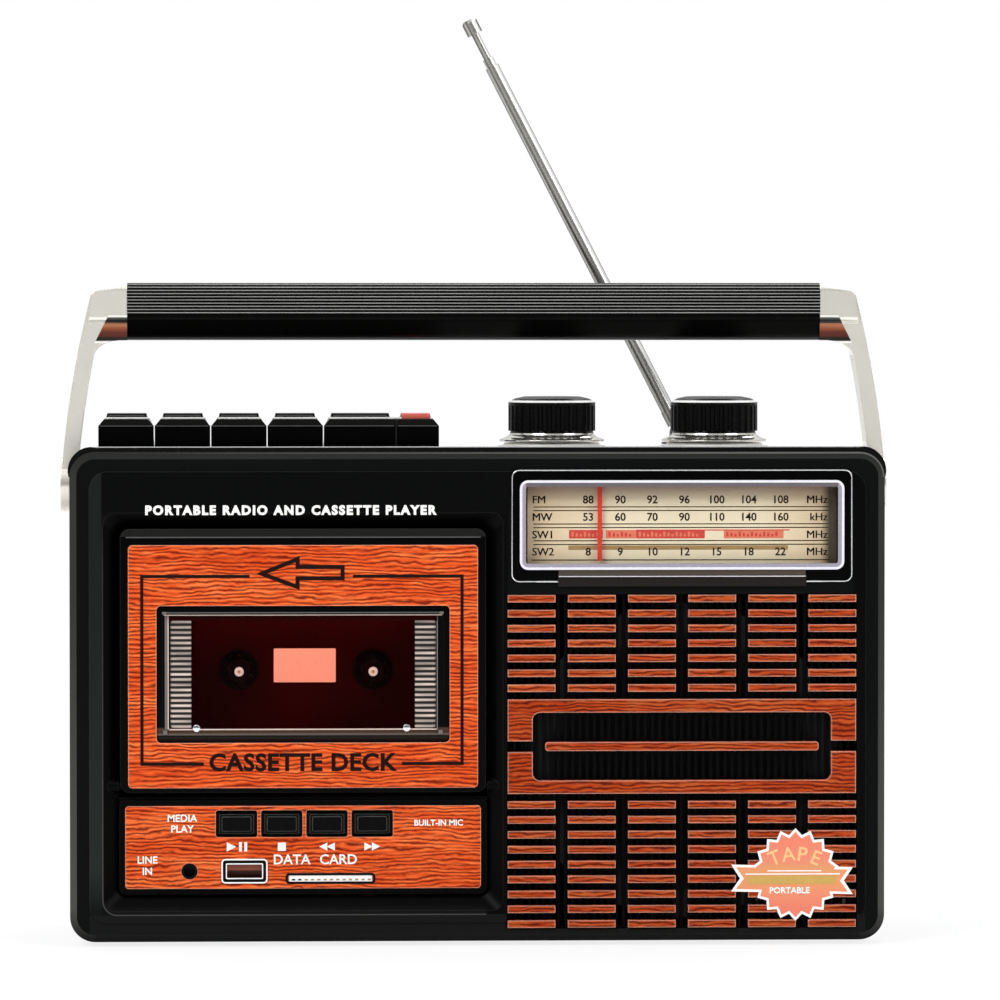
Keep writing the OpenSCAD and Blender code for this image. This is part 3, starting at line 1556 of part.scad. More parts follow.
module trough_outline(extra) {
    for (z = trough_zs) {
        translate([trough_y, z])
            circle(cell_r + extra);
        translate([trough_y, z - cell_r - extra])
            square([y_inner_back - trough_y, 2*(cell_r + extra)]);
    }
}

// Two open troughs side by side, with end walls
module battery_box() {
    color(black)
        difference() {
            sideways(-trough_w/2, trough_w/2)
                intersection() {
                    trough_outline(trough_t);
                    square([y_inner_back, z_top]);
                }
            sideways(-cells_l/2, cells_l/2)
                trough_outline(0);
        }
}

module battery_contacts() {
    color(brass)
        for (side = [-1, 1], z = trough_zs)
            mirror([side < 0 ? 1 : 0, 0, 0]) {
                box(cells_l/2 - 0.4, cells_l/2, trough_y - 7, trough_y + 7, z - 7, z + 7);
                rod_along_x(trough_y, z, 3, cells_l/2 - 1.2, cells_l/2 - 0.2);
            }
}

// Lid over the batteries, turning on two pins along its lower edge
module battery_door() {
    z1 = bay_z1 - run_gap;
    x = lid_x - run_gap;
    color(black)
        difference() {
            union() {
                box(-x, x, y_back - lid_t, y_back, lid_z, z1);
                rod_along_x(lid_y, lid_z, lid_t/2, -x, x);
                rod_along_x(lid_y, lid_z, lid_pin_r, -lid_x - lid_pin_l, lid_x + lid_pin_l);
                for (side = [-1, 1])
                    box(side*30 - 8, side*30 + 8, y_back - lid_t - 1, y_back - lid_t/2, z1 - 6, z1);
            }
            for (i = [-2:2])
                box(-12, 12, y_back - 0.5, y_back + cut, z1 - 8 + i*1.8 - 0.4, z1 - 8 + i*1.8 + 0.4);
        }
}

module band_switch() {
    inner = rear_w/2 - wall;
    y1 = switch_y0 + switch_l;
    color(grey) {
        box(inner - 1, rear_w/2 + 2.4, switch_y0 + run_gap, y1 - run_gap, switch_z - 1.2, switch_z + 1.2);
        box(inner - run_gap - 1.6, inner - run_gap, switch_y0 - 2, y1 + 2, switch_z - 4.1, switch_z + 4.1);
    }
}

front_cabinet();
rear_cabinet();
top_deck();
speaker_grille();
grille_slats();
control_panel();
dial_bezel();
dial_scale();
dial_lens();
dial_pointer();
speaker_basket();
speaker_cone();
radio_board();
tuning_capacitor();
volume_control();
ferrite_aerial();
media_board();
usb_socket();
card_slot();
jack_socket();
tape_chassis();
tape_motor();
drive_belt();
power_transformer();
mains_inlet();
battery_box();
battery_contacts();
battery_door();
cabinet_screws();
band_switch();
door_frame();
door_wood_panel();
door_window();
cassette_holder();
pause_key();
stop_key();
forward_key();
rewind_key();
play_key();
record_key();
head_plate();
tape_heads();
pinch_roller();
supply_spindle();
take_up_spindle();
flywheel();
motor_pulley();
volume_knob();
tuning_knob();
tuning_drum();
handle_grip();
handle_arms();
antenna_base();
antenna_tube();
antenna_section();
antenna_tip();
media_button_1();
media_button_2();
media_button_3();
media_button_4();
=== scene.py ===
# %% [markdown]
# A portable radio cassette player: black cabinet, wood faces, a tinted cassette door,
# a lit-looking tuning dial, piano keys, two knobs, a bright carrying handle and an antenna.
# The solids are already modelled to size, so they are loaded as a fixed frame and dressed here.

# %% Load the solids
import math
from types import SimpleNamespace

import bpy
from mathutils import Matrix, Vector


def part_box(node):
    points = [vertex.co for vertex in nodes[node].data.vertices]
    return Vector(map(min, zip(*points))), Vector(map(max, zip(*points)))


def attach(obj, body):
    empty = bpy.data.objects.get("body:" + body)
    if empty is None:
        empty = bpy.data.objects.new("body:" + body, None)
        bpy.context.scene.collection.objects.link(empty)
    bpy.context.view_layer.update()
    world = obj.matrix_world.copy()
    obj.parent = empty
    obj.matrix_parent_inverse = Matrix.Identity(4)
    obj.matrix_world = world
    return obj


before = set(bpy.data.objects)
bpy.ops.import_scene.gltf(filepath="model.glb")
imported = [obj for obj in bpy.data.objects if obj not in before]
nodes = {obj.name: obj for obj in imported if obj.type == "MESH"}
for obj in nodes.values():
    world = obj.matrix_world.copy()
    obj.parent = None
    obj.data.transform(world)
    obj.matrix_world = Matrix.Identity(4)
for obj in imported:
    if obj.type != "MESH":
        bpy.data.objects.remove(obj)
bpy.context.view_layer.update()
MM = 0.001

# %% [markdown]
# The photograph was taken from a little above and almost straight ahead, with a long lens.
# Turning the camera upwards frames the antenna without any lens shift, so other views stay centred.

# %% Camera
AZIMUTH, ELEVATION, DISTANCE = math.radians(-2.0), math.radians(3.4), 2.1
FOCAL_PX, IMAGE_PX, SENSOR = 6642.0, 1000.0, 36.0
AIM_RIGHT_PX, AIM_UP_PX = 21.7, 197.0
front_middle = Vector((0.0, -0.045, 0.0787))
back = Vector((math.sin(AZIMUTH) * math.cos(ELEVATION), -math.cos(AZIMUTH) * math.cos(ELEVATION),
               math.sin(ELEVATION)))
right = Vector((math.cos(AZIMUTH), math.sin(AZIMUTH), 0.0))
up = back.cross(right)
aim = -back + right * (AIM_RIGHT_PX / FOCAL_PX) + up * (AIM_UP_PX / FOCAL_PX)

lens = bpy.data.cameras.new("camera")
lens.sensor_width = SENSOR
lens.lens = FOCAL_PX * SENSOR / IMAGE_PX
camera = bpy.data.objects.new("camera", lens)
bpy.context.scene.collection.objects.link(camera)
camera.location = front_middle + back * DISTANCE
camera.rotation_euler = aim.to_track_quat("-Z", "Y").to_euler()
bpy.context.scene.camera = camera
bpy.context.scene.view_settings.view_transform = "Standard"
print("lens:", round(lens.lens, 1), "mm")

# %% [markdown]
# Shader maths reads best as plain arithmetic. Each node could be placed and linked by hand, but
# then a short formula fills a page. So one class wraps a socket, and adding or multiplying two
# values adds a Math node. Another class holds a node tree while it is built.

# %% Shader values
class Value:
    """A number or colour inside a material. Arithmetic on it adds Math nodes."""

    def __init__(self, tree, socket):
        self.tree, self.socket = tree, socket

    def math(self, operation, other=0.0, swap=False):
        made = self.tree.nodes.new("ShaderNodeMath")
        made.operation = operation
        for slot, item in zip(made.inputs, (other, self) if swap else (self, other)):
            if isinstance(item, Value):
                self.tree.links.new(item.socket, slot)
            else:
                slot.default_value = item
        return Value(self.tree, made.outputs[0])

    def __add__(self, other):
        return self.math("ADD", other)

    def __sub__(self, other):
        return self.math("SUBTRACT", other)

    def __rsub__(self, other):
        return self.math("SUBTRACT", other, swap=True)

    def __mul__(self, other):
        return self.math("MULTIPLY", other)

    __radd__, __rmul__ = __add__, __mul__

    def above(self, limit):
        return self.math("GREATER_THAN", limit)

    def below(self, limit):
        return self.math("LESS_THAN", limit)

    def stripes(self, start, pitch):
        """0 on the seams between stripes of the given pitch and 1 along their middles."""
        return (self - start).math("PINGPONG", pitch / 2) * (2 / pitch)

    def spread(self, low, high):
        made = self.tree.nodes.new("ShaderNodeMapRange")
        made.inputs["From Min"].default_value = low
        made.inputs["From Max"].default_value = high
        self.tree.links.new(self.socket, made.inputs["Value"])
        return Value(self.tree, made.outputs[0])


print("shader values ready")


# %% Node trees and materials
class Nodes:
    """A node tree under construction."""

    def __init__(self, tree):
        self.tree = tree
        tree.nodes.clear()

    def node(self, kind, settings=None, inputs=None, out=0):
        made = self.tree.nodes.new("ShaderNode" + kind)
        for key, item in (settings or {}).items():
            if key == "stops":
                ramp = made.color_ramp
                while len(ramp.elements) < len(item):
                    ramp.elements.new(0.5)
                for element, (at, colour) in zip(ramp.elements, item):
                    element.position, element.color = at, (*colour, 1.0)
            else:
                setattr(made, key, item)
        for key, item in (inputs or {}).items():
            slot = made.inputs[key]
            if isinstance(item, Value):
                self.tree.links.new(item.socket, slot)
            elif slot.type == "RGBA" and len(item) == 3:
                slot.default_value = (*item, 1.0)
            else:
                slot.default_value = item
        return Value(self.tree, made.outputs[out])

    def output(self, kind, shader):
        end = self.tree.nodes.new("ShaderNodeOutput" + kind)
        self.tree.links.new(shader.socket, end.inputs["Surface"])


class Finish(Nodes):
    """A material under construction."""

    def __init__(self, name):
        self.material = bpy.data.materials.new(name)
        self.material.use_nodes = True
        super().__init__(self.material.node_tree)
        self.place = self.node("TexCoord", out="Object")

    def noise(self, scale, detail=3.0, roughness=0.5):
        spread = (scale,) * 3 if isinstance(scale, (int, float)) else scale
        moved = self.node("Mapping", inputs={"Vector": self.place, "Scale": spread})
        return self.node("TexNoise", inputs={"Vector": moved, "Scale": 1.0, "Detail": detail,
                                             "Roughness": roughness})

    def along(self, axis):
        return self.node("SeparateXYZ", inputs={"Vector": self.place}, out=axis)

    def ramp(self, value, stops):
        return self.node("ValToRGB", {"stops": stops}, {"Fac": value})

    def mix(self, factor, a, b):
        return self.node("Mix", {"data_type": "RGBA"}, {0: factor, 6: a, 7: b}, out=2)

    def soft_edge(self, radius):
        return self.node("Bevel", {"samples": 4}, {"Radius": radius})

    def near_edge(self, radius):
        """1 where a sharp edge is nearer than the radius, from how far a rounded normal leans away."""
        flat = self.node("NewGeometry", out="Normal")
        lean = self.node("VectorMath", {"operation": "DOT_PRODUCT"}, {0: self.soft_edge(radius), 1: flat},
                         out="Value")
        return (1.0 - lean).spread(0.004, 0.07)

    def bump(self, height, strength, distance, edge=None):
        """A bumpy normal, over edges that are rounded where an edge radius is given."""
        inputs = {"Height": height, "Strength": strength, "Distance": distance}
        if edge:
            inputs["Normal"] = self.soft_edge(edge)
        return self.node("Bump", inputs=inputs)

    def shader(self, colour, rough, shine=0.5, metallic=0.0, normal=None):
        inputs = {"Base Color": colour, "Roughness": rough, "Specular IOR Level": shine, "Metallic": metallic}
        if normal is not None:
            inputs["Normal"] = normal
        return self.node("BsdfPrincipled", inputs=inputs)

    def surface(self, shader):
        self.output("Material", shader)
        return self.material

    def coat(self, *look, **more):
        return self.surface(self.shader(*look, **more))


def tinted(colour, factor):
    return tuple(min(1.0, c * factor) for c in colour)


print("materials can be built")

# %% [markdown]
# Moulded plastic is never one flat colour. Its gloss wanders a little, a fine grain breaks up
# the highlights, and every edge is slightly round. A Bevel modifier could round the edges, but the
# solids are loose triangles that stay as they are, so the Bevel node rounds them in the shading.
# Some plastics also get a painted highlight that makes their sharp edges paler.

# %% Plastic finishes
EDGE, SPARK, GRAIN, BRUSH = 0.35 * MM, 0.3 * MM, 0.1 * MM, 0.05 * MM
EDGE_HIGHLIGHT = (0.40, 0.41, 0.38)


def plastic(name, colour, rough, shine=0.5, grain=1400.0, depth=0.05, edge=EDGE, painted_glint=0.0, lit=None):
    """The painted glint sets how pale a painted highlight turns the sharp edges. Lit takes the finish
    and its base colour and returns the base with painted light and shade on it."""
    m = Finish(name)
    cloud = m.noise(35.0)
    fine = m.noise(grain, 2.0)
    base = m.mix(cloud, tinted(colour, 0.8), tinted(colour, 1.25))
    if lit:
        base = lit(m, base)
    # Painted highlight: the glint makes sharp edges paler.
    if painted_glint:
        base = m.mix(m.near_edge(SPARK) * painted_glint, base, EDGE_HIGHLIGHT)
    return m.coat(base, fine * 0.1 + cloud * 0.08 + (rough - 0.09), shine,
                  normal=m.bump(fine, depth, GRAIN, edge))


print("plastic edges:", EDGE / MM, "mm")

# %% [markdown]
# The bevel, the raised panel and the recess of the front lean towards or away from the light, so
# each has its own tone of black, painted as light and shade, with painted highlights along some
# edges. A material on each face could do that, but not with soft changes, so masks on x, y and z do
# it. Rounded corners are told apart by the distance from their centres.

# %% Tones of the front
BLACK = (0.0022, 0.0029, 0.0026)
GLOSS = (0.0006, 0.0006, 0.0006)
RAISED_X, RAISED_Y, STRIP = 122.8 * MM, -44.6 * MM, 3.9 * MM
CORNER_X, CORNER_Z, FOOT_Z = 121.0 * MM, 148.2 * MM, 9.4 * MM
BEVEL_IN, BEVEL_Y, GLINT_IN, GLINT_OUT = 5.8 * MM, -40.5 * MM, 7.35 * MM, 7.75 * MM
RECESS_X, RECESS_LOW, RECESS_HIGH, RECESS_R = -118.6 * MM, 9.9 * MM, 136.4 * MM, 4.6 * MM
RECESS_Y, LEDGE_Y, LINE_HALF = -30.0 * MM, -38.0 * MM, 0.2 * MM
RIDGE_FROM, RIDGE_TO = 2.5 * MM, 9.5 * MM
WINDOW_X, WINDOW_HALF, DOOR_FROM, DOOR_TO, DOOR_TOP = -55.3 * MM, 47.0 * MM, 60.0 * MM, 135.0 * MM, 129.4 * MM


def front_tones(m, base):
    x, y, z = m.along(0), m.along(1), m.along(2)
    across, left = x.math("ABSOLUTE"), x.below(RIDGE_FROM)
    inside, low = RAISED_X - across, z.spread(110.0 * MM, 25.0 * MM)
    raised = inside.above(0.0) * y.below(RAISED_Y)

    def distance(side, up):
        """How far a point lies from the centre of a rounded corner."""
        side, up = side.math("MAXIMUM", 0.0), up.math("MAXIMUM", 0.0)
        return (side * side + up * up).math("SQRT")

    # Painted shade: the raised front above the recess is darker.
    toned = m.mix(z.above(RECESS_HIGH) * raised, base, (0.0009, 0.0012, 0.0010))
    # Painted shade: the ridge between the door and the grille is gloss black.
    toned = m.mix(x.above(RIDGE_FROM) * x.below(RIDGE_TO) * z.below(RECESS_HIGH), toned, GLOSS)
    # Painted light: the front below the recess is lighter.
    ledge = z.below(RECESS_LOW) * y.below(LEDGE_Y) * inside.above(0.0)
    toned = m.mix(ledge, toned, (0.0066, 0.0074, 0.0068))
    # Painted sheen: a strip along the left edge of the raised front, brighter towards the bottom.
    painted_sheen = m.mix(low, (0.0085, 0.0112, 0.0100), (0.0153, 0.020, 0.018))
    toned = m.mix(raised * x.below(0.0) * inside.below(STRIP) * z.spread(9.0 * MM, 24.0 * MM), toned, painted_sheen)
    # Painted shade: the same strip on the right is gloss black.
    toned = m.mix(raised * x.above(0.0) * inside.below(STRIP) * z.above(FOOT_Z), toned, GLOSS)
    # Painted shade on the walls of the recess round the door, a little lighter near its foot.
    beyond = distance(RECESS_X + RECESS_R - x,
                      (z - (RECESS_HIGH - RECESS_R)).math("MAXIMUM", RECESS_LOW + RECESS_R - z)) - RECESS_R
    slope = m.ramp(z.spread(10.0 * MM, 14.0 * MM), [(0.1, (0.005,) * 3), (0.7, (0.0003,) * 3)])
    toned = m.mix(beyond.below(0.0) * left * y.below(RECESS_Y), toned, slope)
    # Painted highlight: a thin bright line along the rounded edge of the recess, brighter towards the bottom
    # and fading out at the top.
    line = beyond.math("ABSOLUTE").below(LINE_HALF) * left * z.spread(RECESS_HIGH, 120.0 * MM)
    toned = m.mix(line, toned, m.mix(low, (0.020, 0.021, 0.019), (0.048, 0.049, 0.046)))
    # The outer bevel gets painted light, brighter low down and darker along the top, and a painted highlight
    # arcs round its upper corners, stronger on the right.
    reach = distance(across - CORNER_X, (z - CORNER_Z).math("MAXIMUM", (FOOT_Z - z) * across.above(CORNER_X)))
    leaning = m.mix(low, (0.026, 0.0265, 0.024), (0.056, 0.056, 0.051))
    leaning = m.mix(z.spread(CORNER_Z, CORNER_Z + BEVEL_IN), leaning, (0.0145, 0.015, 0.0135))
    rim = reach.above(GLINT_IN) * reach.below(GLINT_OUT) * z.above(CORNER_Z) * x.spread(-0.12, 0.09)
    bevel = reach.above(BEVEL_IN) * y.below(BEVEL_Y) * z.spread(1.5 * MM, 12.0 * MM)
    return m.mix(bevel, toned, m.mix(rim, leaning, (0.11, 0.11, 0.10)))


def door_ledges(m, base):
    """The ledge under the window and the top of the door look upwards, so painted light makes them lighter,
    with bands of painted light and shade on the ledge.
    """
    under = (m.along(0) - WINDOW_X).math("ABSOLUTE").below(WINDOW_HALF)
    ledge = m.ramp(m.along(2).spread(DOOR_FROM, DOOR_TO), [
        (0.060, GLOSS), (0.069, (0.006, 0.001, 0.001)), (0.075, (0.013, 0.010, 0.008)),
        (0.083, (0.012, 0.009, 0.007)), (0.0865, (0.002, 0.001, 0.001)), (0.090, (0.10, 0.08, 0.065)),
        (0.095, (0.10, 0.08, 0.065)), (0.099, (0.035, 0.02, 0.013)), (0.108, (0.06, 0.03, 0.02)),
        (0.116, (0.07, 0.04, 0.03)), (0.122, GLOSS)])
    return m.mix(m.along(2).above(DOOR_TOP), m.mix(under, base, ledge), (0.011, 0.012, 0.010))


def bay_light(m, base):
    """The bay catches more light near its top."""
    return m.mix(m.along(2).spread(84.0 * MM, 102.0 * MM), base, (0.085, 0.0004, 0.0006))


print("bevel starts", round(BEVEL_IN / MM, 1), "mm from the corners' centres")

# %% Plastics
# The glint, the number after the edge radius, is a painted highlight on the edges; front_tones, door_ledges
# and bay_light paint light and shade.
cabinet_black = plastic("cabinet_black", BLACK, 0.36, 0.05, 1800.0, 0.08, 0.6 * MM, 0.04, front_tones)
back_black = plastic("back_black", BLACK, 0.5, 0.2, 900.0, 0.25, 0.6 * MM)
piano_black = plastic("piano_black", GLOSS, 0.16, 0.04, 600.0, 0.01, 0.4 * MM, 0.05)
door_black = plastic("door_black", GLOSS, 0.16, 0.04, 600.0, 0.01, 0.4 * MM, 0.06, door_ledges)
button_black = plastic("button_black", GLOSS, 0.2, 0.06, 600.0, 0.01, 0.3 * MM, 0.25)
# Brow black is lighter than the gloss black of the keys: painted light on the chamfer of each key.
brow_black = plastic("brow_black", (0.006, 0.006, 0.005), 0.25, 0.05, 600.0, 0.01, 0.2 * MM)
fin_black = plastic("fin_black", (0.001, 0.001, 0.001), 0.5, 0.05, 1200.0, 0.05, 0.2 * MM)
dark_grey = plastic("dark_grey", (0.022, 0.022, 0.022), 0.4, 0.5)
bay_maroon = plastic("bay_maroon", (0.036, 0.0003, 0.0005), 0.5, 0.03, 900.0, 0.1, lit=bay_light)
spindle_maroon = plastic("spindle_maroon", (0.004, 0.0003, 0.0003), 0.4, 0.04)
white_moulding = plastic("white_moulding", (0.72, 0.7, 0.64), 0.4)
pointer_red = plastic("pointer_red", (0.72, 0.035, 0.02), 0.3, 0.5, 1200.0, 0.02, 0.15 * MM)
pad_red = plastic("pad_red", (0.66, 0.13, 0.10), 0.35, 0.5, 1200.0, 0.02, 0.2 * MM)
rubber = plastic("rubber", (0.012, 0.012, 0.012), 0.75, 0.3, 2500.0, 0.3, 0.2 * MM)
paper_cone = plastic("paper_cone", (0.02, 0.02, 0.021), 0.85, 0.2, 2200.0, 0.6, 0.2 * MM)
ferrite = plastic("ferrite", (0.05, 0.04, 0.04), 0.7, 0.3, 1500.0, 0.3)
print("plastics:", len(bpy.data.materials))

# %% [markdown]
# Two plastic pieces carry a second finish in fixed places. The knobs stand on a bright flared skirt
# and have a painted highlight as a pale line round the top, and the crests of the ribs on the grip
# carry a painted highlight in a lighter grey. Each is one solid, so nothing is laid over it: masks by
# height change its finish.

# %% Knob and grip finishes
knob_low, knob_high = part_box("tuning_knob")
grip_low, grip_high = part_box("handle_grip")
SKIRT_H, LINE_FROM, LINE_TO = 2.7 * MM, 1.85 * MM, 1.2 * MM
RIB_PITCH, RIBS, TOP_RIB_DOWN = 1.02 * MM, 8, 2.4 * MM

m = Finish("knob_black")
fine = m.noise(900.0, 2.0)
z = m.along(2)
skirt = z.below(knob_low.z + SKIRT_H)
# Painted highlight: a pale ring near the top of the knob.
top_highlight = z.above(knob_high.z - LINE_FROM) * z.below(knob_high.z - LINE_TO)
black = m.mix(top_highlight, (0.0014, 0.0014, 0.0012), (0.72, 0.72, 0.70))
knob_black = m.coat(m.mix(skirt, black, (0.82, 0.78, 0.72)), fine * 0.08 + (0.24 - skirt * 0.1), 0.09, skirt,
                    m.bump(fine, 0.03, GRAIN, 0.25 * MM))

m = Finish("grip_black")
fine = m.noise(1500.0, 2.0)
streaks = m.noise((25.0, 400.0, 900.0))
z = m.along(2)
first = grip_high.z - TOP_RIB_DOWN
last = first - (RIBS - 0.5) * RIB_PITCH
# Painted highlight on the rib crests, broken up by streaks.
crest = z.stripes(first - RIB_PITCH / 2, RIB_PITCH).spread(0.6, 0.92) * z.above(last)
crest_highlight = m.mix(crest * (streaks * 0.6 + 0.35), (0.0007, 0.0007, 0.0006), (0.46, 0.46, 0.44))
grip_black = m.coat(crest_highlight, fine * 0.1 + 0.26, 0.05, normal=m.bump(fine, 0.05, GRAIN, 0.15 * MM))

pad_black = plastic("pad_black", (0.0015, 0.0015, 0.0014), 0.28, 0.1, 900.0, 0.03, 0.25 * MM)
print("skirt below", round((knob_low.z + SKIRT_H) / MM, 1), "mm, ribs from", round(grip_high.z / MM, 1), "mm")

# %% [markdown]
# The wood faces are printed foil: an orange-red ground with thin wavy dark lines that run sideways.
# A Wave texture could draw the lines, but too evenly. Here noise stretched along X drifts slowly
# from tone to tone. The lines are stripes in height that two more noises bend and ripple, and a
# third breaks them up. A painted highlight makes the edges of the foil paler.

# %% Wood finish
LINE_PITCH, BEND, RIPPLE = 1.3 * MM, 5.0 * MM, 1.5 * MM


def wood_foil(name, brightness, foil_highlight, edge, foil_highlight_tint):
    m = Finish(name)
    drift = m.noise((18.0, 18.0, 150.0))
    grain = m.noise((130.0, 130.0, 1700.0), 3.0, 0.6)
    bend, wave = m.noise((45.0, 45.0, 130.0), 2.0), m.noise((240.0, 240.0, 420.0), 2.0)
    broken = m.noise((110.0, 110.0, 650.0), 2.0).spread(0.28, 0.5)
    level = m.along(2) + bend * BEND + wave * RIPPLE
    lines = (1.0 - level.stripes(0.0, LINE_PITCH).spread(0.08, 0.78)) * (broken * 0.65 + 0.35)
    ground = m.ramp(grain * 0.75 + drift * 0.45 - 0.1, [
        (0.28, tinted((0.52, 0.042, 0.006), brightness)), (0.48, tinted((0.80, 0.100, 0.017), brightness)),
        (0.70, tinted((1.0, 0.24, 0.065), brightness))])
    printed = m.mix(lines * 0.93, ground, tinted((0.13, 0.003, 0.001), brightness))
    # Painted highlight: the edges of the foil turn paler.
    colour = m.mix(m.near_edge(edge) * foil_highlight, printed, foil_highlight_tint)
    return m.coat(colour, grain * 0.16 + 0.36, 0.06, normal=m.bump(grain - lines * 0.6, 0.1, GRAIN, 0.2 * MM))


wood = wood_foil("wood_foil", 0.92, 0.85, 0.5 * MM, (0.86, 0.40, 0.26))
wood_slat = wood_foil("wood_slat", 0.52, 0.75, 0.65 * MM, (0.72, 0.42, 0.32))
print("wood ready")

# %% [markdown]
# Plated parts are metals with a faint drift in gloss. An even mirror would look drawn, so noise
# moves the tone and the roughness a little. The plating here is a warm silver, the trim is brighter,
# the deck is brushed sideways, and the sheet metal inside is dull.

# %% Metal finishes
def metal(name, colour, rough, brushed=700.0, metallic=1.0):
    m = Finish(name)
    cloud = m.noise(28.0)
    lines = m.noise(brushed)
    drifting = m.mix(cloud, tinted(colour, 0.92), tinted(colour, 1.06))
    return m.coat(drifting, lines * 0.1 + cloud * 0.06 + (rough - 0.08), metallic=metallic,
                  normal=m.bump(lines, 0.02, BRUSH, EDGE))


plating = metal("plating", (0.84, 0.80, 0.71), 0.24, metallic=0.7)
deck_silver = metal("deck_silver", (0.86, 0.855, 0.83), 0.5, (30.0, 2200.0, 30.0), 0.4)
trim_bright = metal("trim_bright", (0.88, 0.88, 0.90), 0.16)
sheet_steel = metal("sheet_steel", (0.46, 0.46, 0.47), 0.36, (40.0, 40.0, 1400.0))
brass = metal("brass", (0.66, 0.46, 0.16), 0.3)
print("metals ready")

# %% [markdown]
# Drawn tube is polished along its length, so it shows long bands of light and dark side by side.
# The plated corners of the handle are hollow below, and that hollow mirrors the dark front and the
# wood. Things placed round the radio could give both, but this room is plain, so both are in the
# colour: bands by the distance across the leaning tube, and bands by height on the handle.

# %% Antenna and handle finishes
tube_low, tube_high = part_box("antenna_base")
LEAN, TILT_X, TILT_Z, TUBE_R = math.radians(27.2), (tube_low.x + tube_high.x) / 2, 160.4 * MM, 2.3 * MM

m = Finish("antenna_plate")
across = (m.along(0) - TILT_X) * math.cos(LEAN) + (m.along(2) - TILT_Z) * math.sin(LEAN)
lines = m.noise((700.0, 700.0, 60.0))
bands = m.ramp(across.spread(-TUBE_R, TUBE_R) + lines * 0.05 - 0.025, [
    (0.02, (0.10, 0.10, 0.09)), (0.12, (0.42, 0.42, 0.40)), (0.26, (0.07, 0.068, 0.06)),
    (0.36, (0.26, 0.25, 0.23)), (0.62, (0.46, 0.45, 0.42)), (0.80, (0.80, 0.80, 0.78)),
    (0.93, (0.72, 0.71, 0.67)), (0.97, (0.12, 0.11, 0.10))])
antenna_plate = m.coat(bands, lines * 0.1 + 0.2, metallic=0.75, normal=m.bump(lines, 0.02, BRUSH, 0.2 * MM))

m = Finish("handle_plating")
cloud = m.noise(28.0)
streaks = m.noise((40.0, 300.0, 700.0))
silver = m.mix(cloud, (0.80, 0.76, 0.67), (0.90, 0.87, 0.80))
bottom, inner = grip_low.z, grip_high.x
height = (m.along(2) + streaks * (0.8 * MM)).spread(bottom - 0.5 * MM, bottom + 8.6 * MM)
mirrored = m.ramp(height, [
    (0.05, (0.86, 0.84, 0.80)), (0.09, (0.004, 0.003, 0.002)), (0.17, (0.010, 0.004, 0.003)),
    (0.25, (0.075, 0.012, 0.005)), (0.40, (0.10, 0.018, 0.007)), (0.50, (0.22, 0.05, 0.02)),
    (0.62, (0.36, 0.13, 0.06)), (0.68, (0.32, 0.14, 0.07)), (0.73, (0.006, 0.005, 0.003)),
    (0.82, (0.006, 0.006, 0.003)), (0.88, (0.05, 0.05, 0.03)), (0.93, (0.84, 0.82, 0.78)),
    (0.975, (0.84, 0.82, 0.78)), (0.99, (0.02, 0.02, 0.012))])
reach = m.along(0).math("ABSOLUTE") + (m.along(2) - bottom) * 0.5
hollow = reach.below(inner + 10.0 * MM) * height.below(0.99) * height.above(0.001)
handle_plate = m.coat(m.mix(hollow, silver, mirrored), cloud * 0.1 + 0.2, metallic=0.65 - hollow * 0.6,
                      normal=m.bump(cloud, 0.02, BRUSH, EDGE))

print("tube axis at x", round(TILT_X / MM, 1), "grip ends at x", round(grip_high.x / MM, 1))

# %% [markdown]
# The cassette window is clear, slightly smoky plastic over a dark red bay, and mirrors a little.
# A glass shader would bend the light as well, which a thin pane hardly does, so the pane is a mix of
# see-through and shine. Its two ribbed end strips are plated, with painted highlights on the rib
# crests and painted shade between them, and a mask switches the shader there.

# %% Clear finishes
def clear(name, tint, mirror, strips=None):
    m = Finish(name)
    wave = m.noise(60.0, 2.0)
    see = m.node("BsdfTransparent", inputs={"Color": tint})
    shine = m.shader((0.02, 0.002, 0.002), wave * 0.04 + 0.03, 0.3)
    pane = m.node("MixShader", inputs={0: mirror, 1: see, 2: shine})
    if strips is None:
        return m.surface(pane)
    middle, inner, front, bottom, pitch = strips
    x, y, z = m.along(0), m.along(1), m.along(2)
    ends = (x.below(middle - inner) + x.above(middle + inner)) * y.below(front)
    # Painted highlights on the rib crests and painted shade in the grooves between them, varied from rib to
    # rib.
    crest = z.stripes(bottom, pitch).spread(0.35, 0.75)
    painted_glint = m.noise((60.0, 60.0, 420.0), 2.0).spread(0.3, 0.7)
    ribbed = m.mix(crest * (painted_glint * 0.7 + 0.3), (0.006, 0.004, 0.003), (0.74, 0.60, 0.53))
    ribs = m.shader(ribbed, wave * 0.1 + 0.3, metallic=0.3)
    return m.surface(m.node("MixShader", inputs={0: ends, 1: pane, 2: ribs}))


pane_low, pane_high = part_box("door_window")
pane_middle = (pane_low.x + pane_high.x) / 2
STRIP_W, LIP, FIT, WINDOW_RIBS = 6.5 * MM, 1.6 * MM, 0.15 * MM, 21
pane_bottom, pane_top = pane_low.z + LIP - FIT, pane_high.z - LIP + FIT
strip_inner = (pane_high.x - pane_low.x) / 2 - LIP - STRIP_W
window_smoke = clear("window_smoke", (0.95, 0.86, 0.84), 0.015,
                     (pane_middle, strip_inner, pane_low.y + 0.9 * MM, pane_bottom,
                      (pane_top - pane_bottom) / WINDOW_RIBS))
lens_clear = clear("lens_clear", (0.97, 0.97, 0.96), 0.04)
print("window strips start", round(strip_inner / MM, 1), "mm from its middle")

# %% [markdown]
# The dial card is cream. It is darker towards its ends, as if a lamp sat behind its middle, and the
# bezel shades its top and its right end. A lamp could do the first, but a tone by place stays the
# same under other light. The circuit boards are green lacquer with lighter copper tracks showing
# through, which are the cell borders of a Voronoi texture.

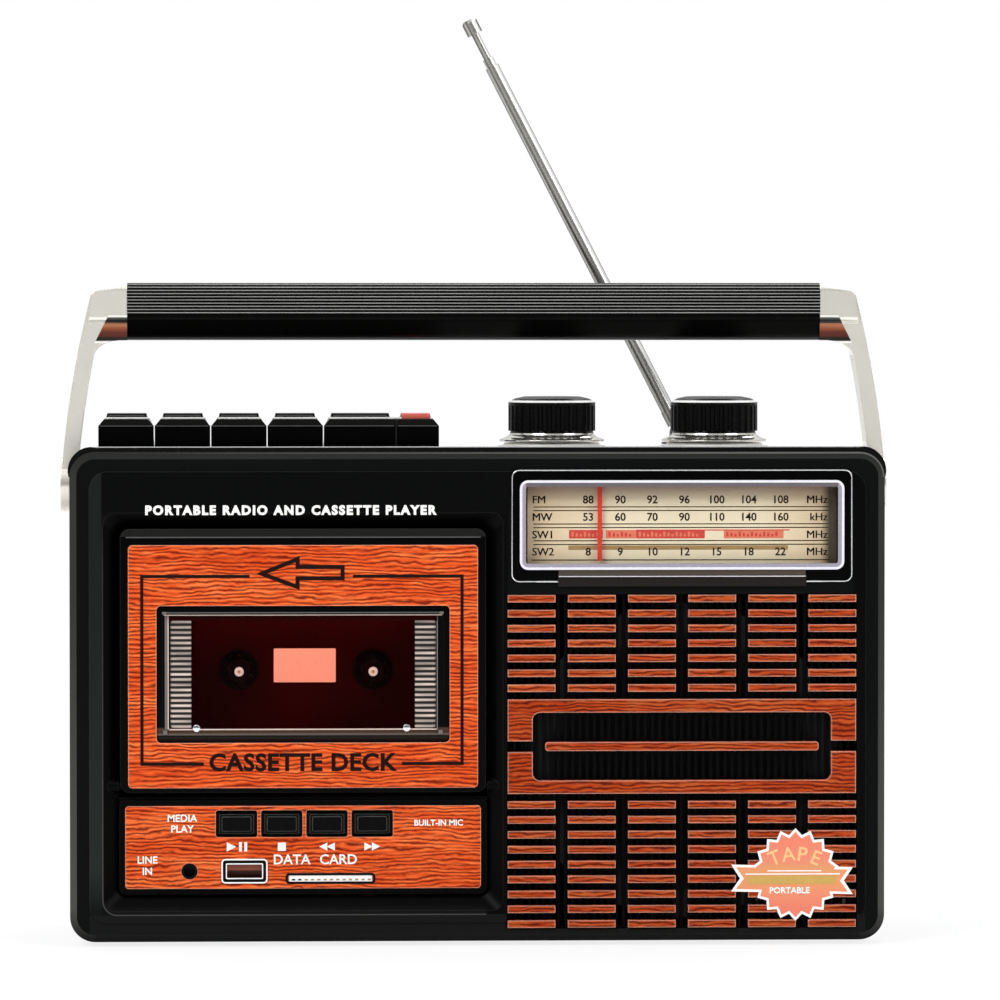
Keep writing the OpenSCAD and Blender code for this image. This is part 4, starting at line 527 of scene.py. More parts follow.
# %% Card and board finishes
m = Finish("dial_card")
low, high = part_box("dial_scale")
half = (high.x - low.x) / 2
x = m.along(0)
off = (x - (low.x + half)).math("ABSOLUTE").spread(half * 0.45, half)
fibre = m.noise((300.0, 300.0, 700.0))
paper = m.mix(off, (0.95, 0.82, 0.60), (0.76, 0.54, 0.32))
paper = m.mix(fibre * 0.25, paper, (0.95, 0.86, 0.68))
shaded = m.mix(m.along(2).spread(140.0 * MM, 146.0 * MM), paper, (0.33, 0.20, 0.15))
shaded = m.mix(x.spread(109.0 * MM, 111.5 * MM), shaded, (0.10, 0.08, 0.055))
card_cream = m.coat(shaded, fibre * 0.1 + 0.5, 0.25)

m = Finish("board_lacquer")
tracks = m.node("TexVoronoi", {"feature": "DISTANCE_TO_EDGE"},
                {"Vector": m.place, "Scale": 160.0}).below(0.09)
fine = m.noise(900.0, 2.0)
board_green = m.coat(m.mix(tracks, (0.012, 0.09, 0.028), (0.05, 0.19, 0.06)), fine * 0.1 + 0.28,
                     normal=m.bump(tracks, 0.15, BRUSH))
print("card is", round(2 * half / MM, 1), "mm wide")

# %% [markdown]
# Print, and thin lines of painted highlight and painted shade, are inks whose tone wanders a little.
# They differ only in colour, roughness and shine, so one table and one function make them. The USB
# shell turns to a painted reflection of the wood deeper inside it, and the paper star is salmon with
# a warmer ribbon.

# %% Inks
# Grey, line and lip are painted highlights, pale is print and painted highlight alike, jamb is dimmer painted
# light, rail and lip_shade are painted shade, and shade is painted shade in the gaps round the sockets.
INKS = {
    "brown": ((0.022, 0.013, 0.008), 0.45, 0.1),
    "dark": ((0.009, 0.002, 0.001), 0.45, 0.1),
    "white": ((0.86, 0.85, 0.82), 0.45, 0.1),
    "red": ((0.72, 0.085, 0.07), 0.45, 0.1),
    "tan": ((0.44, 0.28, 0.13), 0.45, 0.1),
    "salmon": ((0.86, 0.235, 0.15), 0.45, 0.1),
    "pale": ((0.93, 0.93, 0.92), 0.45, 0.1),
    "gold": ((0.56, 0.36, 0.10), 0.45, 0.1),
    "cream": ((0.90, 0.52, 0.24), 0.45, 0.1),
    "pin": ((0.90, 0.86, 0.80), 0.3, 0.1),
    "shade": ((0.002, 0.0015, 0.0015), 0.5, 0.1),
    "grey": ((0.085, 0.085, 0.08), 0.3, 0.1),
    "ledge": ((0.075, 0.058, 0.042), 0.3, 0.1),
    "step": ((0.011, 0.008, 0.007), 0.3, 0.1),
    "lip_shade": ((0.13, 0.115, 0.12), 0.3, 0.1),
    "line": ((0.62, 0.50, 0.45), 0.3, 0.1),
    "deck": ((0.46, 0.46, 0.45), 0.3, 0.1),
    "jamb": ((0.15, 0.13, 0.12), 0.3, 0.1),
    "rail": ((0.014, 0.0004, 0.0003), 0.4, 0.02),
    "lavender": ((0.30, 0.28, 0.33), 0.2, 0.5),
    "lip": ((0.74, 0.72, 0.84), 0.2, 0.5),
}


def plain_ink(name, colour, rough, shine):
    m = Finish(name)
    fine = m.noise(1500.0, 2.0)
    return m.coat(m.mix(fine, tinted(colour, 0.88), tinted(colour, 1.1)), fine * 0.12 + rough, shine)


ink = SimpleNamespace(**{name: plain_ink("ink_" + name, *look) for name, look in INKS.items()})

m = Finish("usb_plate")
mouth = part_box("usb_socket")[0].y
fine = m.noise(900.0, 2.0)
# Painted reflection: deeper in, the plating turns to the colour of the wood.
deep = m.along(1).spread(mouth + 0.2 * MM, mouth + 1.2 * MM)
plated = m.mix(deep, (0.84, 0.80, 0.71), (0.22, 0.045, 0.016))
usb_plate = m.coat(plated, fine * 0.1 + 0.3, metallic=0.6 - deep * 0.5)

m = Finish("star_salmon")
fine = m.noise(1500.0, 2.0)
tone = m.ramp(m.along(2).spread(8.0 * MM, 36.0 * MM), [
    (0.10, (0.76, 0.19, 0.13)), (0.30, (0.76, 0.25, 0.14)), (0.42, (0.70, 0.30, 0.12)),
    (0.60, (0.68, 0.30, 0.13)), (0.64, (0.74, 0.24, 0.15)), (0.9, (0.76, 0.20, 0.13))])
star_salmon = m.coat(m.mix(fine * 0.2, tone, (0.9, 0.36, 0.22)), fine * 0.12 + 0.45, 0.1)
print("materials:", len(bpy.data.materials))

# %% [markdown]
# Every solid takes the finish of the piece that it stands for. The table goes from a finish to its
# solids, because many solids share one. The cell prints any solid that was left out.

# %% Dress the solids
finishes = {
    cabinet_black: "front_cabinet",
    back_black: "rear_cabinet battery_box battery_door",
    deck_silver: "top_deck",
    fin_black: "speaker_grille",
    wood_slat: "grille_slats",
    wood: "control_panel door_wood_panel",
    door_black: "door_frame",
    usb_plate: "usb_socket",
    piano_black: "dial_bezel pause_key stop_key forward_key rewind_key play_key record_key",
    button_black: "media_button_1 media_button_2 media_button_3 media_button_4",
    card_cream: "dial_scale",
    lens_clear: "dial_lens",
    pointer_red: "dial_pointer",
    sheet_steel: "speaker_basket volume_control tape_motor power_transformer cabinet_screws head_plate",
    paper_cone: "speaker_cone",
    board_green: "radio_board media_board",
    white_moulding: "tuning_capacitor tuning_drum",
    ferrite: "ferrite_aerial",
    plating: "card_slot tape_heads",
    handle_plate: "handle_arms",
    pad_black: "jack_socket",
    dark_grey: "mains_inlet band_switch",
    rubber: "drive_belt pinch_roller",
    brass: "battery_contacts flywheel motor_pulley",
    window_smoke: "door_window",
    bay_maroon: "tape_chassis cassette_holder",
    spindle_maroon: "supply_spindle take_up_spindle",
    knob_black: "volume_knob tuning_knob",
    grip_black: "handle_grip",
    antenna_plate: "antenna_base antenna_tube antenna_section antenna_tip",
}
dressed = set()
for material, names in finishes.items():
    for name in names.split():
        nodes[name].data.materials.clear()
        nodes[name].data.materials.append(material)
        dressed.add(name)
print("not dressed:", sorted(set(nodes) - dressed))

# %% [markdown]
# The small pieces are made as by hand, from places and sizes in millimetres. An operator acts on
# all that is selected, so each piece starts with nothing selected. These helpers settle a piece on
# its body, pick edges or faces in edit mode, and round the edges that were picked.

# %% Editing helpers
SMOOTH_BELOW = math.radians(35)
FACING, SAME, CORNER_STEPS = 0.9, 1e-7, 5


def deselect():
    bpy.ops.object.select_all(action="DESELECT")


def apply_place():
    """Puts the active object's place, turn and size into its mesh."""
    bpy.ops.object.transform_apply(location=True, rotation=True, scale=True)


def rename(piece, name):
    piece.name = piece.data.name = name
    return piece


def settle(name, material, body):
    """Finishes the active object: its name, its material, its shading and the body that it rides on."""
    apply_place()
    piece = rename(bpy.context.active_object, name)
    piece.data.materials.clear()
    piece.data.materials.append(material)
    bpy.ops.object.shade_smooth_by_angle(angle=SMOOTH_BELOW)
    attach(piece, body)
    return piece


def pick(kind, test):
    """In edit mode, selects the edges or the polygons that pass the test, and nothing else."""
    bpy.ops.object.mode_set(mode="OBJECT")
    mesh = bpy.context.active_object.data
    for part in (mesh.vertices, mesh.edges, mesh.polygons):
        part.foreach_set("select", [False] * len(part))
    for item in getattr(mesh, kind):
        item.select = test(item)
    bpy.context.tool_settings.mesh_select_mode = (False, kind == "edges", kind == "polygons")
    bpy.ops.object.mode_set(mode="EDIT")


def bevel(test, width, segments=2):
    """Rounds the edges that pass the test, which is given an edge's key and the places of its two ends."""
    spots = bpy.context.active_object.data.vertices
    pick("edges", lambda edge: test(edge.key, *(spots[i].co for i in edge.vertices)))
    bpy.ops.mesh.bevel(offset=width * MM, segments=segments, affect="EDGES")
    bpy.ops.object.mode_set(mode="OBJECT")


def soften_front(width):
    """Rounds the rims of the face that looks forward."""
    faces = {}
    for face in bpy.context.active_object.data.polygons:
        for key in face.edge_keys:
            faces.setdefault(key, []).append(face.normal.y < -FACING)
    rims = {key for key, looks in faces.items() if sorted(looks) == [False, True]}
    bevel(lambda key, a, b: key in rims, width)


def middle_of(node):
    """The middle of a solid's box, in millimetres."""
    low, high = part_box(node)
    return [(a + b) / 2 / MM for a, b in zip(low, high)]


print("editing helpers ready")

# %% [markdown]
# A bar is a cube on a face that looks forward, with the four edges along its depth rounded, and a
# frame is a bar whose front and back are inset and bridged. Both are given their two x, their two z,
# the y of their back and how far they stand proud of it. Outlines are filled circles whose corners
# are moved, and letters are text turned into a mesh.

# %% Piece helpers
PRINT = 0.03


def start_bar(x0, x1, z0, z1, y, proud, radius=0.0):
    deselect()
    low, high = (x0, y - proud, z0), (x1, y, z1)
    bpy.ops.mesh.primitive_cube_add(size=1.0, location=[(a + b) / 2 * MM for a, b in zip(low, high)])
    bpy.context.active_object.scale = [(b - a) * MM for a, b in zip(low, high)]
    apply_place()
    if radius:
        bevel(lambda key, a, b: abs(a.x - b.x) < SAME and abs(a.z - b.z) < SAME, radius, CORNER_STEPS)


def bar(name, x0, x1, z0, z1, y, proud, material, body="cabinet", radius=0.0, edge=0.0, slot=None):
    start_bar(x0, x1, z0, z1, y, proud, radius)
    if edge:
        soften_front(edge)
    return settle(name, material, body)


def frame_piece(name, x0, x1, z0, z1, y, proud, width, material, radius, edge, slot=None):
    start_bar(x0, x1, z0, z1, y, proud, radius)
    pick("polygons", lambda face: abs(face.normal.y) > FACING)
    bpy.ops.mesh.inset(thickness=width * MM, use_individual=True)
    bpy.ops.mesh.bridge_edge_loops()
    bpy.ops.object.mode_set(mode="OBJECT")
    soften_front(edge)
    return settle(name, material, "cabinet")


def turned(name, x, z, y0, y1, radius, material, body, edge, vertices):
    """A small turned piece along Y with a rounded front rim."""
    deselect()
    bpy.ops.mesh.primitive_cylinder_add(vertices=vertices, radius=radius * MM, depth=(y1 - y0) * MM,
                                        location=(x * MM, (y0 + y1) / 2 * MM, z * MM),
                                        rotation=(math.pi / 2, 0, 0))
    apply_place()
    soften_front(edge)
    return settle(name, material, body)


def outline(name, points, y, depth, material, body="cabinet", stroke=0.0):
    """A flat piece with these corners that reaches back from y. With a stroke, only its rim is left."""
    deselect()
    bpy.ops.mesh.primitive_circle_add(vertices=len(points), radius=0.01, fill_type="NGON")
    for vertex, (x, z) in zip(bpy.context.active_object.data.vertices, points):
        vertex.co = (x * MM, y * MM, z * MM)
    bpy.ops.object.mode_set(mode="EDIT")
    bpy.ops.mesh.select_mode(type="FACE")
    bpy.ops.mesh.select_all(action="SELECT")
    if stroke:
        bpy.ops.mesh.inset(thickness=stroke * MM)
        bpy.ops.mesh.delete(type="FACE")
    bpy.ops.mesh.select_all(action="SELECT")
    bpy.ops.mesh.extrude_region_move(TRANSFORM_OT_translate={"value": (0, depth * MM, 0)})
    bpy.ops.mesh.select_all(action="SELECT")
    bpy.ops.mesh.normals_make_consistent(inside=False)
    bpy.ops.object.mode_set(mode="OBJECT")
    return settle(name, material, body)


def lettering(text, x, z, y, size, material, body="cabinet", name="print", align="CENTER", weight=0.0,
              spacing=1.0, turn=0.0):
    """Raised print on a face at y, aligned to x and centred on z. Turn is in degrees."""
    deselect()
    bpy.ops.object.text_add(location=(x * MM, (y - PRINT) * MM, z * MM),
                            rotation=(math.pi / 2, math.radians(turn), 0))
    words = bpy.context.active_object.data
    words.body, words.size, words.extrude = text, size * MM, PRINT * MM
    words.align_x, words.align_y = align, "CENTER"
    words.offset, words.space_character, words.resolution_u = weight * MM, spacing, 3
    bpy.ops.object.convert(target="MESH")
    return settle(name, material, body)


def join(name, pieces):
    deselect()
    for piece in pieces:
        piece.select_set(True)
    bpy.context.view_layer.objects.active = pieces[0]
    bpy.ops.object.join()
    return rename(bpy.context.active_object, name)


print("piece helpers ready")

# %% [markdown]
# The dial has four bands of numbers between double lines. On the real card they are printed. A
# picture could hold them, but meshes stay sharp from any distance, so here they are letters and bars
# a few hundredths of a millimetre thick. The numbers are those of the usual wave bands. The letters
# at both ends are printed twice, slightly apart, to look bolder.

# %% Dial numbers
card_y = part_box("dial_scale")[0].y / MM
DIAL_LEFT, DIAL_RIGHT, NUMBERS_FROM, NUMBERS_TO = 17.2, 111.0, 35.0, 96.0
LETTER, BOLD = 3.5, 0.07
BANDS = ((140.8, "FM", "88 90 92 96 100 104 108", "MHz"), (135.3, "MW", "53 60 70 90 110 140 160", "kHz"),
         (129.7, "SW1", "", "MHz"), (124.3, "SW2", "8 9 10 12 15 18 22", "MHz"))


def dial_text(text, x, z, align="CENTER", weight=0.0):
    return lettering(text, x, z, card_y, LETTER, ink.brown, align=align, weight=weight)


prints = []
for z, band, numbers, unit in BANDS:
    for shift in (-BOLD, BOLD):
        prints.append(dial_text(band, DIAL_LEFT + shift, z, "LEFT"))
        prints.append(dial_text(unit, DIAL_RIGHT + shift, z, "RIGHT"))
    items = numbers.split()
    for i, item in enumerate(items):
        x = NUMBERS_FROM + (NUMBERS_TO - NUMBERS_FROM) * i / (len(items) - 1)
        prints.append(dial_text(item, x, z, weight=BOLD))
join("dial_numbers", prints)
print("dial print:", len(prints), "items")

# %% Dial lines and coloured bands
RULES = [(17.6, 111.2, z) for z in (138.6, 137.45, 133.2, 132.05, 127.9, 126.7)] + [(17.0, 111.6, 121.8)]
RULE, RULE_HALF = 0.06, 0.15
BLOCKS = ((28.9, 39.6, ink.red), (40.6, 50.2, ink.salmon), (50.2, 72.0, ink.red), (78.0, 97.0, ink.salmon))
BLOCK, BLOCK_LOW, BLOCK_HIGH = 0.04, 128.6, 131.3
TICK, TICK_W, TICK_PITCH, TICK_LOW, TICK_HIGH, TICK_STEP = 0.07, 0.7, 1.3, 129.2, 130.7, 0.35
tick_y = card_y - 0.02

join("dial_lines", [bar("dial_line", x0, x1, z - RULE_HALF, z + RULE_HALF, card_y, RULE, ink.brown)
                    for x0, x1, z in RULES])
blocks, ticks = {ink.red: [], ink.salmon: []}, {ink.red: [], ink.salmon: []}
for start, end, tint in BLOCKS:
    blocks[tint].append(bar("block", start, end, BLOCK_LOW, BLOCK_HIGH, card_y, BLOCK, tint, radius=0.3))
    other = ink.salmon if tint is ink.red else ink.red
    for i in range(int((end - start - 1.0) / TICK_PITCH)):
        x = start + 0.8 + i * TICK_PITCH
        high = TICK_HIGH - TICK_STEP * (i % 3)
        ticks[other].append(bar("tick", x, x + TICK_W, TICK_LOW, high, tick_y, TICK, other))
ticks[ink.red].append(bar("tick", 50.2, 99.0, 131.1, 131.4, tick_y, TICK, ink.red))
join("dial_tint", blocks[ink.salmon])
join("dial_red_blocks", blocks[ink.red])
join("dial_red_band", ticks[ink.red])
join("dial_pink_marks", ticks[ink.salmon])
bar("dial_tan_band", 28.7, 98.4, 125.0, 126.4, card_y, 0.03, ink.tan)
print("dial lines:", len(RULES), "blocks:", len(BLOCKS))

# %% [markdown]
# A bright lip frames the dial window, and a hairline of plating follows the bezel's outer edge.
# Under the bezel sits a narrow step with a bright edge. Masks in the bezel's finish could draw them,
# but a raised frame or bar catches the light along its rim, as the real trim does.

# %% Dial trim
bezel_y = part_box("dial_bezel")[0].y / MM + 0.4
FRAME, FRAME_R = (13.1, 115.8, 118.9, 147.2), 2.6
STEP_LEFT, STEP_RIGHT, STEP_TOP = 25.4, 103.6, 117.0
EDGE_LOW, EDGE_HIGH = 114.95, 115.4

frame_piece("dial_lip", *FRAME, bezel_y + 0.3, 1.3, 2.0, ink.lavender, FRAME_R, 0.5, "bright_chrome")
# Painted highlight: a bright line along the outer edge of the lip.
frame_piece("dial_lip_highlight", *FRAME, bezel_y - 0.4, 0.7, 0.8, ink.lip, FRAME_R, 0.1, "bright_chrome")
# Painted shade: a darker strip along the lower part of the lip's top bar.
bar("dial_lip_shade", 15.0, 113.9, 145.15, 146.5, bezel_y - 0.9, 0.16, ink.lip_shade, radius=0.4)
bar("dial_ledge", STEP_LEFT, STEP_RIGHT, STEP_TOP, 118.8, bezel_y + 0.2, 0.5, ink.ledge)
frame_piece("dial_hairline", 10.5, 118.4, 115.0, 150.5, bezel_y + 0.3, 0.45, 0.35, trim_bright, 2.4, 0.08,
            "bright_chrome")
bar("dial_step", STEP_LEFT - 0.2, STEP_RIGHT + 0.2, 113.6, STEP_TOP + 0.2, bezel_y + 0.2, 0.7, ink.step,
    radius=0.3, edge=0.1, slot="gloss_black")
dial_step_edge = join("dial_step_edge", [
    bar("edge", STEP_LEFT, STEP_RIGHT, 116.65, STEP_TOP, bezel_y - 0.4, 0.3, trim_bright),
    bar("edge", 18.3, 25.1, EDGE_LOW, EDGE_HIGH, bezel_y, 0.4, trim_bright),
    bar("edge", 103.9, 108.7, EDGE_LOW, EDGE_HIGH, bezel_y, 0.4, trim_bright)])
print("dial lip reaches y", round(bezel_y - 1.0, 2))

# %% [markdown]
# The door carries a thin printed line that frames the window, a plain outline of an arrow that
# shows which way the tape runs, and two generic words where the line is interrupted. The line is
# six bars with square ends, and the arrow is a filled outline with only its rim left.

# %% Door print
door_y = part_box("door_wood_panel")[0].y / MM
rim_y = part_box("door_frame")[0].y / MM
INK, LINE = 0.08, 1.0
LEFT, RIGHT, TOP, BOTTOM = -106.7, -4.6, 117.4, 57.1
ARROW_GAP, WORD_GAP = (-72.2, -39.6), (-86.7, -24.1)
ARROW = ((-70.2, 117.7), (-56.4, 112.6), (-56.4, 115.6), (-42.2, 115.6), (-42.2, 120.5), (-56.4, 120.5),
         (-56.4, 123.3))
STROKES = ((LEFT, LEFT + LINE, BOTTOM, TOP), (RIGHT - LINE, RIGHT, BOTTOM, TOP),
           (LEFT + LINE, ARROW_GAP[0], TOP - LINE, TOP), (ARROW_GAP[1], RIGHT - LINE, TOP - LINE, TOP),
           (LEFT + LINE, WORD_GAP[0], BOTTOM, BOTTOM + LINE),
           (WORD_GAP[1], RIGHT - LINE, BOTTOM, BOTTOM + LINE))

join("door_lines", [bar("door_line", *stroke, door_y, INK, ink.dark, "door") for stroke in STROKES])
outline("door_arrow", ARROW, door_y - INK, INK, ink.dark, "door", stroke=1.3)
lettering("CASSETTE DECK", -55.6, 57.8, door_y, 7.6, ink.dark, "door", "door_word", weight=0.25, spacing=1.06)
# Painted highlight along the top edge of the door frame.
bar("door_top_highlight", -111.2, 0.8, 129.05, 129.4, rim_y + 0.1, 0.16, ink.grey, "door")
print("door print at y", round(door_y, 2))

# %% [markdown]
# A plain salmon label sticks to the window between the spindles, and each spindle ends in a small
# bright cap. Two little screws hold the window at its lower corners. The window's moulded rim could
# be one frame, but its sides differ in painted tone and in how far they stand out, so it is made of
# bars: pale bars are painted highlights along the top, the foot and the left side of the rim, greyer
# jamb bars at its sides, corners and top are dimmer painted light, and a dark red rail just under the
# top bar is painted shade.

# %% Cassette bay trim
pane_y = pane_low.y / MM + 0.5
spindle_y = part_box("take_up_spindle")[0].y / MM
SCREW_XS, SCREW_Z, SCREW_R = (-89.0, -22.6), 68.8, 1.2
RIM_LOW, RIM_HIGH, RIM_TOP = 68.2, 104.5, 105.7
PALE_BARS = ((-99.3, -11.4, RIM_HIGH, 104.85, 2.0), (-97.8, -13.0, RIM_LOW, 68.6, 0.8),
             (-98.1, -97.75, 68.6, RIM_HIGH, 1.3))
JAMBS = ((-99.0, -98.1, RIM_LOW, RIM_HIGH, 1.2), (-13.1, -12.7, RIM_LOW, RIM_HIGH, 1.2),
         (-99.8, -98.4, 104.9, RIM_TOP, 2.6), (-12.2, -10.9, 104.9, RIM_TOP, 2.6),
         (-99.6, -98.2, 66.8, RIM_LOW, 1.6), (-12.6, -11.2, 66.8, RIM_LOW, 1.6))


def window_bar(place, material, name="bar"):
    """A bar of the rim, from its two x, its two z and how far it stands proud."""
    return bar(name, *place[:4], pane_y, place[4], material, "door", edge=0.08)


bar("bay_label", -64.6, -45.0, 83.3, 94.0, pane_y, 0.12, ink.salmon, "door", radius=0.3, edge=0.05)
for body in ("take_up_spindle", "supply_spindle"):
    x, _, z = middle_of(body)
    turned(body + "_cap", x, z, spindle_y - 0.5, spindle_y + 0.6, 1.5, ink.pin, body, 0.4, 28)
    turned(body + "_dimple", x, z, spindle_y - 0.55, spindle_y, 0.55, ink.tan, body, 0.05, 12)
for i, x in enumerate(SCREW_XS):
    turned("window_screw_%d" % (i + 1), x, SCREW_Z, pane_y - 1.1, pane_y + 0.05, SCREW_R, trim_bright, "door",
           0.25, 20)
# Painted shade: the dark red rail under the top of the rim. Painted highlights and dimmer painted light: the
# pale bars and the jambs.
window_bar((-97.6, -13.0, 102.9, RIM_HIGH, 1.7), ink.rail, "window_rail")
join("window_highlights", [window_bar(place, ink.line) for place in PALE_BARS])
join("window_jambs", [window_bar(place, ink.jamb) for place in JAMBS]
     + [window_bar((-98.4, -12.2, 105.2, 105.6, 2.7), ink.grey)])
print("bay trim at y", round(spindle_y, 2))

# %% [markdown]
# The record key has a red pad, and the other keys have plain black ones. Each pad is a cap on the
# raised back of its key. A painted highlight runs along the foot of the pads and near their tops,
# where the moulded steps catch the light, and a fainter one where the front of the key turns back.
# The brow over each key's face is a lighter black, painted light on the chamfer that looks up. One
# loop makes them all, from the sides and the top of each key.

# %% Key pads
KEYS = ("pause_key", "stop_key", "forward_key", "rewind_key", "play_key", "record_key")
KEY_Y, KEY_FOOT, TURN = -17.0, 157.1, 2.0
PAD_Y, PAD_BACK, PAD_H, PAD_CAP, PAD_EDGE = -6.2, 6.4, 1.3, 0.3, 0.16


def span(key, free, shared):
    """Where trim starts and ends on a key: free is its distance from a side, and shared its distance
    from the side where the play key and the record key meet."""
    low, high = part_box(key)
    return (low.x / MM + (shared if key == "record_key" else free),
            high.x / MM - (shared if key == "play_key" else free))


for key in KEYS:
    red = key == "record_key"
    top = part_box(key)[1].z / MM
    foot = top - PAD_H
    face_z, brow_z = foot - TURN - 0.2, foot - 0.15
    (x0, x1), (pad0, pad1) = span(key, 0.0, 0.0), span(key, 2.6, 1.9)
    (brow0, brow1), (line0, line1) = span(key, 1.7, 0.0), span(key, 2.0, 0.1)
    front, lowest = (PAD_Y - 0.15, foot - 0.05) if red else (PAD_Y + 0.5, top - 0.2)
    start_bar(pad0 - 0.05, pad1 + 0.05, lowest, top + PAD_CAP, PAD_BACK, PAD_BACK - front)
    bevel(lambda *edge: True, PAD_EDGE)
    settle(key + "_pad", pad_red if red else pad_black, key)
    outline(key + "_face", ((x0, KEY_FOOT), (x1, KEY_FOOT), (x1, face_z), (x0, face_z)), KEY_Y - 0.15, 1.0,
            piano_black, key)
    # Painted light: the brow, where the key's front turns back, is a lighter black.
    outline(key + "_brow", ((x0, face_z), (x1, face_z), (brow1, brow_z), (brow0, brow_z)), KEY_Y - 0.1, 0.9,
            brow_black, key)
    # Painted highlights: along the foot of the pad, near its top and where the front turns back.
    bar(key + "_foot_highlight", line0, line1, foot - 0.03, foot + 0.45, PAD_Y + 0.2, 0.28, ink.pale, key)
    if not red:
        bar(key + "_top_highlight", pad0 + 0.5, pad1 - 0.5, top - 0.5, top - 0.15, PAD_Y + 0.6, 0.35, ink.grey,
            key)
    bar(key + "_crease_highlight", x0 + 0.5, x1 - 0.5, face_z - 0.12, face_z + 0.12, KEY_Y - 0.1, 0.1, ink.grey, key)
seam_x = span("play_key", 0.0, 0.0)[1]
seam_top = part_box("play_key")[1].z / MM - PAD_H - 0.3
bar("play_seam", seam_x, seam_x + 0.2, KEY_FOOT + 0.3, seam_top, KEY_Y + 2.0, 1.85, pad_black, "play_key")
print("key pads:", len(KEYS))

# %% [markdown]
# The control panel is labelled with the usual transport signs, in white. A font may lack such signs,
# so triangles come from three-sided outlines, and the rest are bars. Short generic words mark the
# sockets.

# %% Control panel print
panel_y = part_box("control_panel")[0].y / MM
SIGN, SIGN_Z = 0.06, 31.2
WORDS = (("MEDIA", -93.6, 40.2, 3.2), ("PLAY", -93.6, 36.8, 3.2), ("LINE", -104.6, 27.0, 3.2),
         ("IN", -104.6, 23.4, 3.2), ("BUILT-IN MIC", -12.5, 38.6, 2.6), ("DATA", -59.0, 27.0, 4.4),
         ("CARD", -44.2, 27.0, 4.4))


def triangle(x, size, way):
    foot, tip = x - way * size / 2, x + way * size / 2
    points = ((foot, SIGN_Z - size / 2), (tip, SIGN_Z), (foot, SIGN_Z + size / 2))
    return outline("sign", points, panel_y - SIGN, SIGN, ink.white)


def sign_bar(x, w, h):
    return bar("sign", x - w / 2, x + w / 2, SIGN_Z - h / 2, SIGN_Z + h / 2, panel_y, SIGN, ink.white)


play_x, stop_x, back_x, ahead_x = (middle_of("media_button_%d" % (i + 1))[0] for i in range(4))
signs = [triangle(play_x - 1.6, 3.0, 1), sign_bar(play_x + 1.2, 0.9, 3.0), sign_bar(play_x + 2.9, 0.9, 3.0),
         sign_bar(stop_x, 2.6, 2.6)]
signs += [triangle(x + shift, 2.6, way) for x, way in ((back_x, -1), (ahead_x, 1)) for shift in (-1.2, 1.2)]
signs += [lettering(text, x, z, panel_y, size, ink.white, weight=BOLD) for text, x, z, size in WORDS]
join("panel_signs", signs)
print("panel signs:", len(signs))

# %% [markdown]
# The card slot has a dark rim, a pale flap and a row of small contacts. The USB socket has a pale
# lip, a dark gap and a pale rim. Thin frames, one inside the other, give these without a cut into
# the solids.

# %% Socket rims
CONTACTS, CONTACT_PITCH, CONTACT_W = 13, 2.0, 1.0
card_x, _, card_z = middle_of("card_slot")
usb_x, _, usb_z = middle_of("usb_socket")
usb_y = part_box("usb_socket")[0].y / MM


def rim(name, x, z, half_w, half_h, y, proud, width, material, radius):
    frame_piece(name, x - half_w, x + half_w, z - half_h, z + half_h, y, proud, width, material, radius, 0.1)


rim("card_rim", card_x, card_z, 14.2, 1.75, panel_y + 0.1, 0.25, 0.75, ink.shade, 1.2)
bar("card_flap", card_x - 13.1, card_x + 13.1, card_z - 1.05, card_z + 1.05, panel_y + 0.9, 0.8, ink.pale,
    radius=0.2, edge=0.15)
contacts = []
for i in range(CONTACTS):
    x = card_x - 12.2 + CONTACT_PITCH * i
    contacts.append(bar("contact", x, x + CONTACT_W, card_z - 0.6, card_z - 0.1, panel_y + 0.2, 0.18,
                        ink.tan if i > 1 else ink.shade))
join("card_contacts", contacts)
rim("usb_shade", usb_x, usb_z, 6.9, 3.5, usb_y + 0.3, 0.4, 1.0, ink.shade, 0.9)
rim("usb_rim", usb_x, usb_z, 7.3, 3.9, usb_y + 0.3, 0.5, 0.45, ink.pale, 1.3)
rim("usb_lip", usb_x, usb_z, 5.9, 2.5, usb_y + 0.3, 0.5, 0.35, ink.pale, 0.4)
print("card contacts:", CONTACTS)

# %% [markdown]
# One line of plain white print above the door says what the thing is. It is text turned into a
# mesh, like the other words, and set slightly wide.

# %% Cabinet print
front_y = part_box("front_cabinet")[0].y / MM
cabinet_print = lettering("PORTABLE RADIO AND CASSETTE PLAYER", -59.3, 137.7, front_y, 3.9, ink.white,
                          name="cabinet_print", weight=0.21, spacing=1.27)
print("print is", round(cabinet_print.dimensions.x / MM, 1), "mm wide")

# %% [markdown]
# The front moulding stands a little proud of the deck. This lip hides the front of the deck from
# a low view, and the deck shows as a thin bright line over it. The corners are a little squarer than
# an arc, so the lip is an outline whose reach changes from step to step, and not a rounded bar. A
# flat bright disc lies under each knob.

# %% Top lip and knob discs
LIP_X, LIP_FRONT, LIP_BACK, LIP_TOP = 122.8, -41.3, -39.4, 157.5
LIP_REACH, LIP_INNER, LIP_STEP = (9.3, 9.65, 9.8, 9.8, 9.7, 9.55, 9.3, 9.0, 8.7, 8.3), 7.4, 10
DISC_Z, DISC_R, DISC_H, DISC_EDGE = 157.0, 17.3, 0.7, 0.25

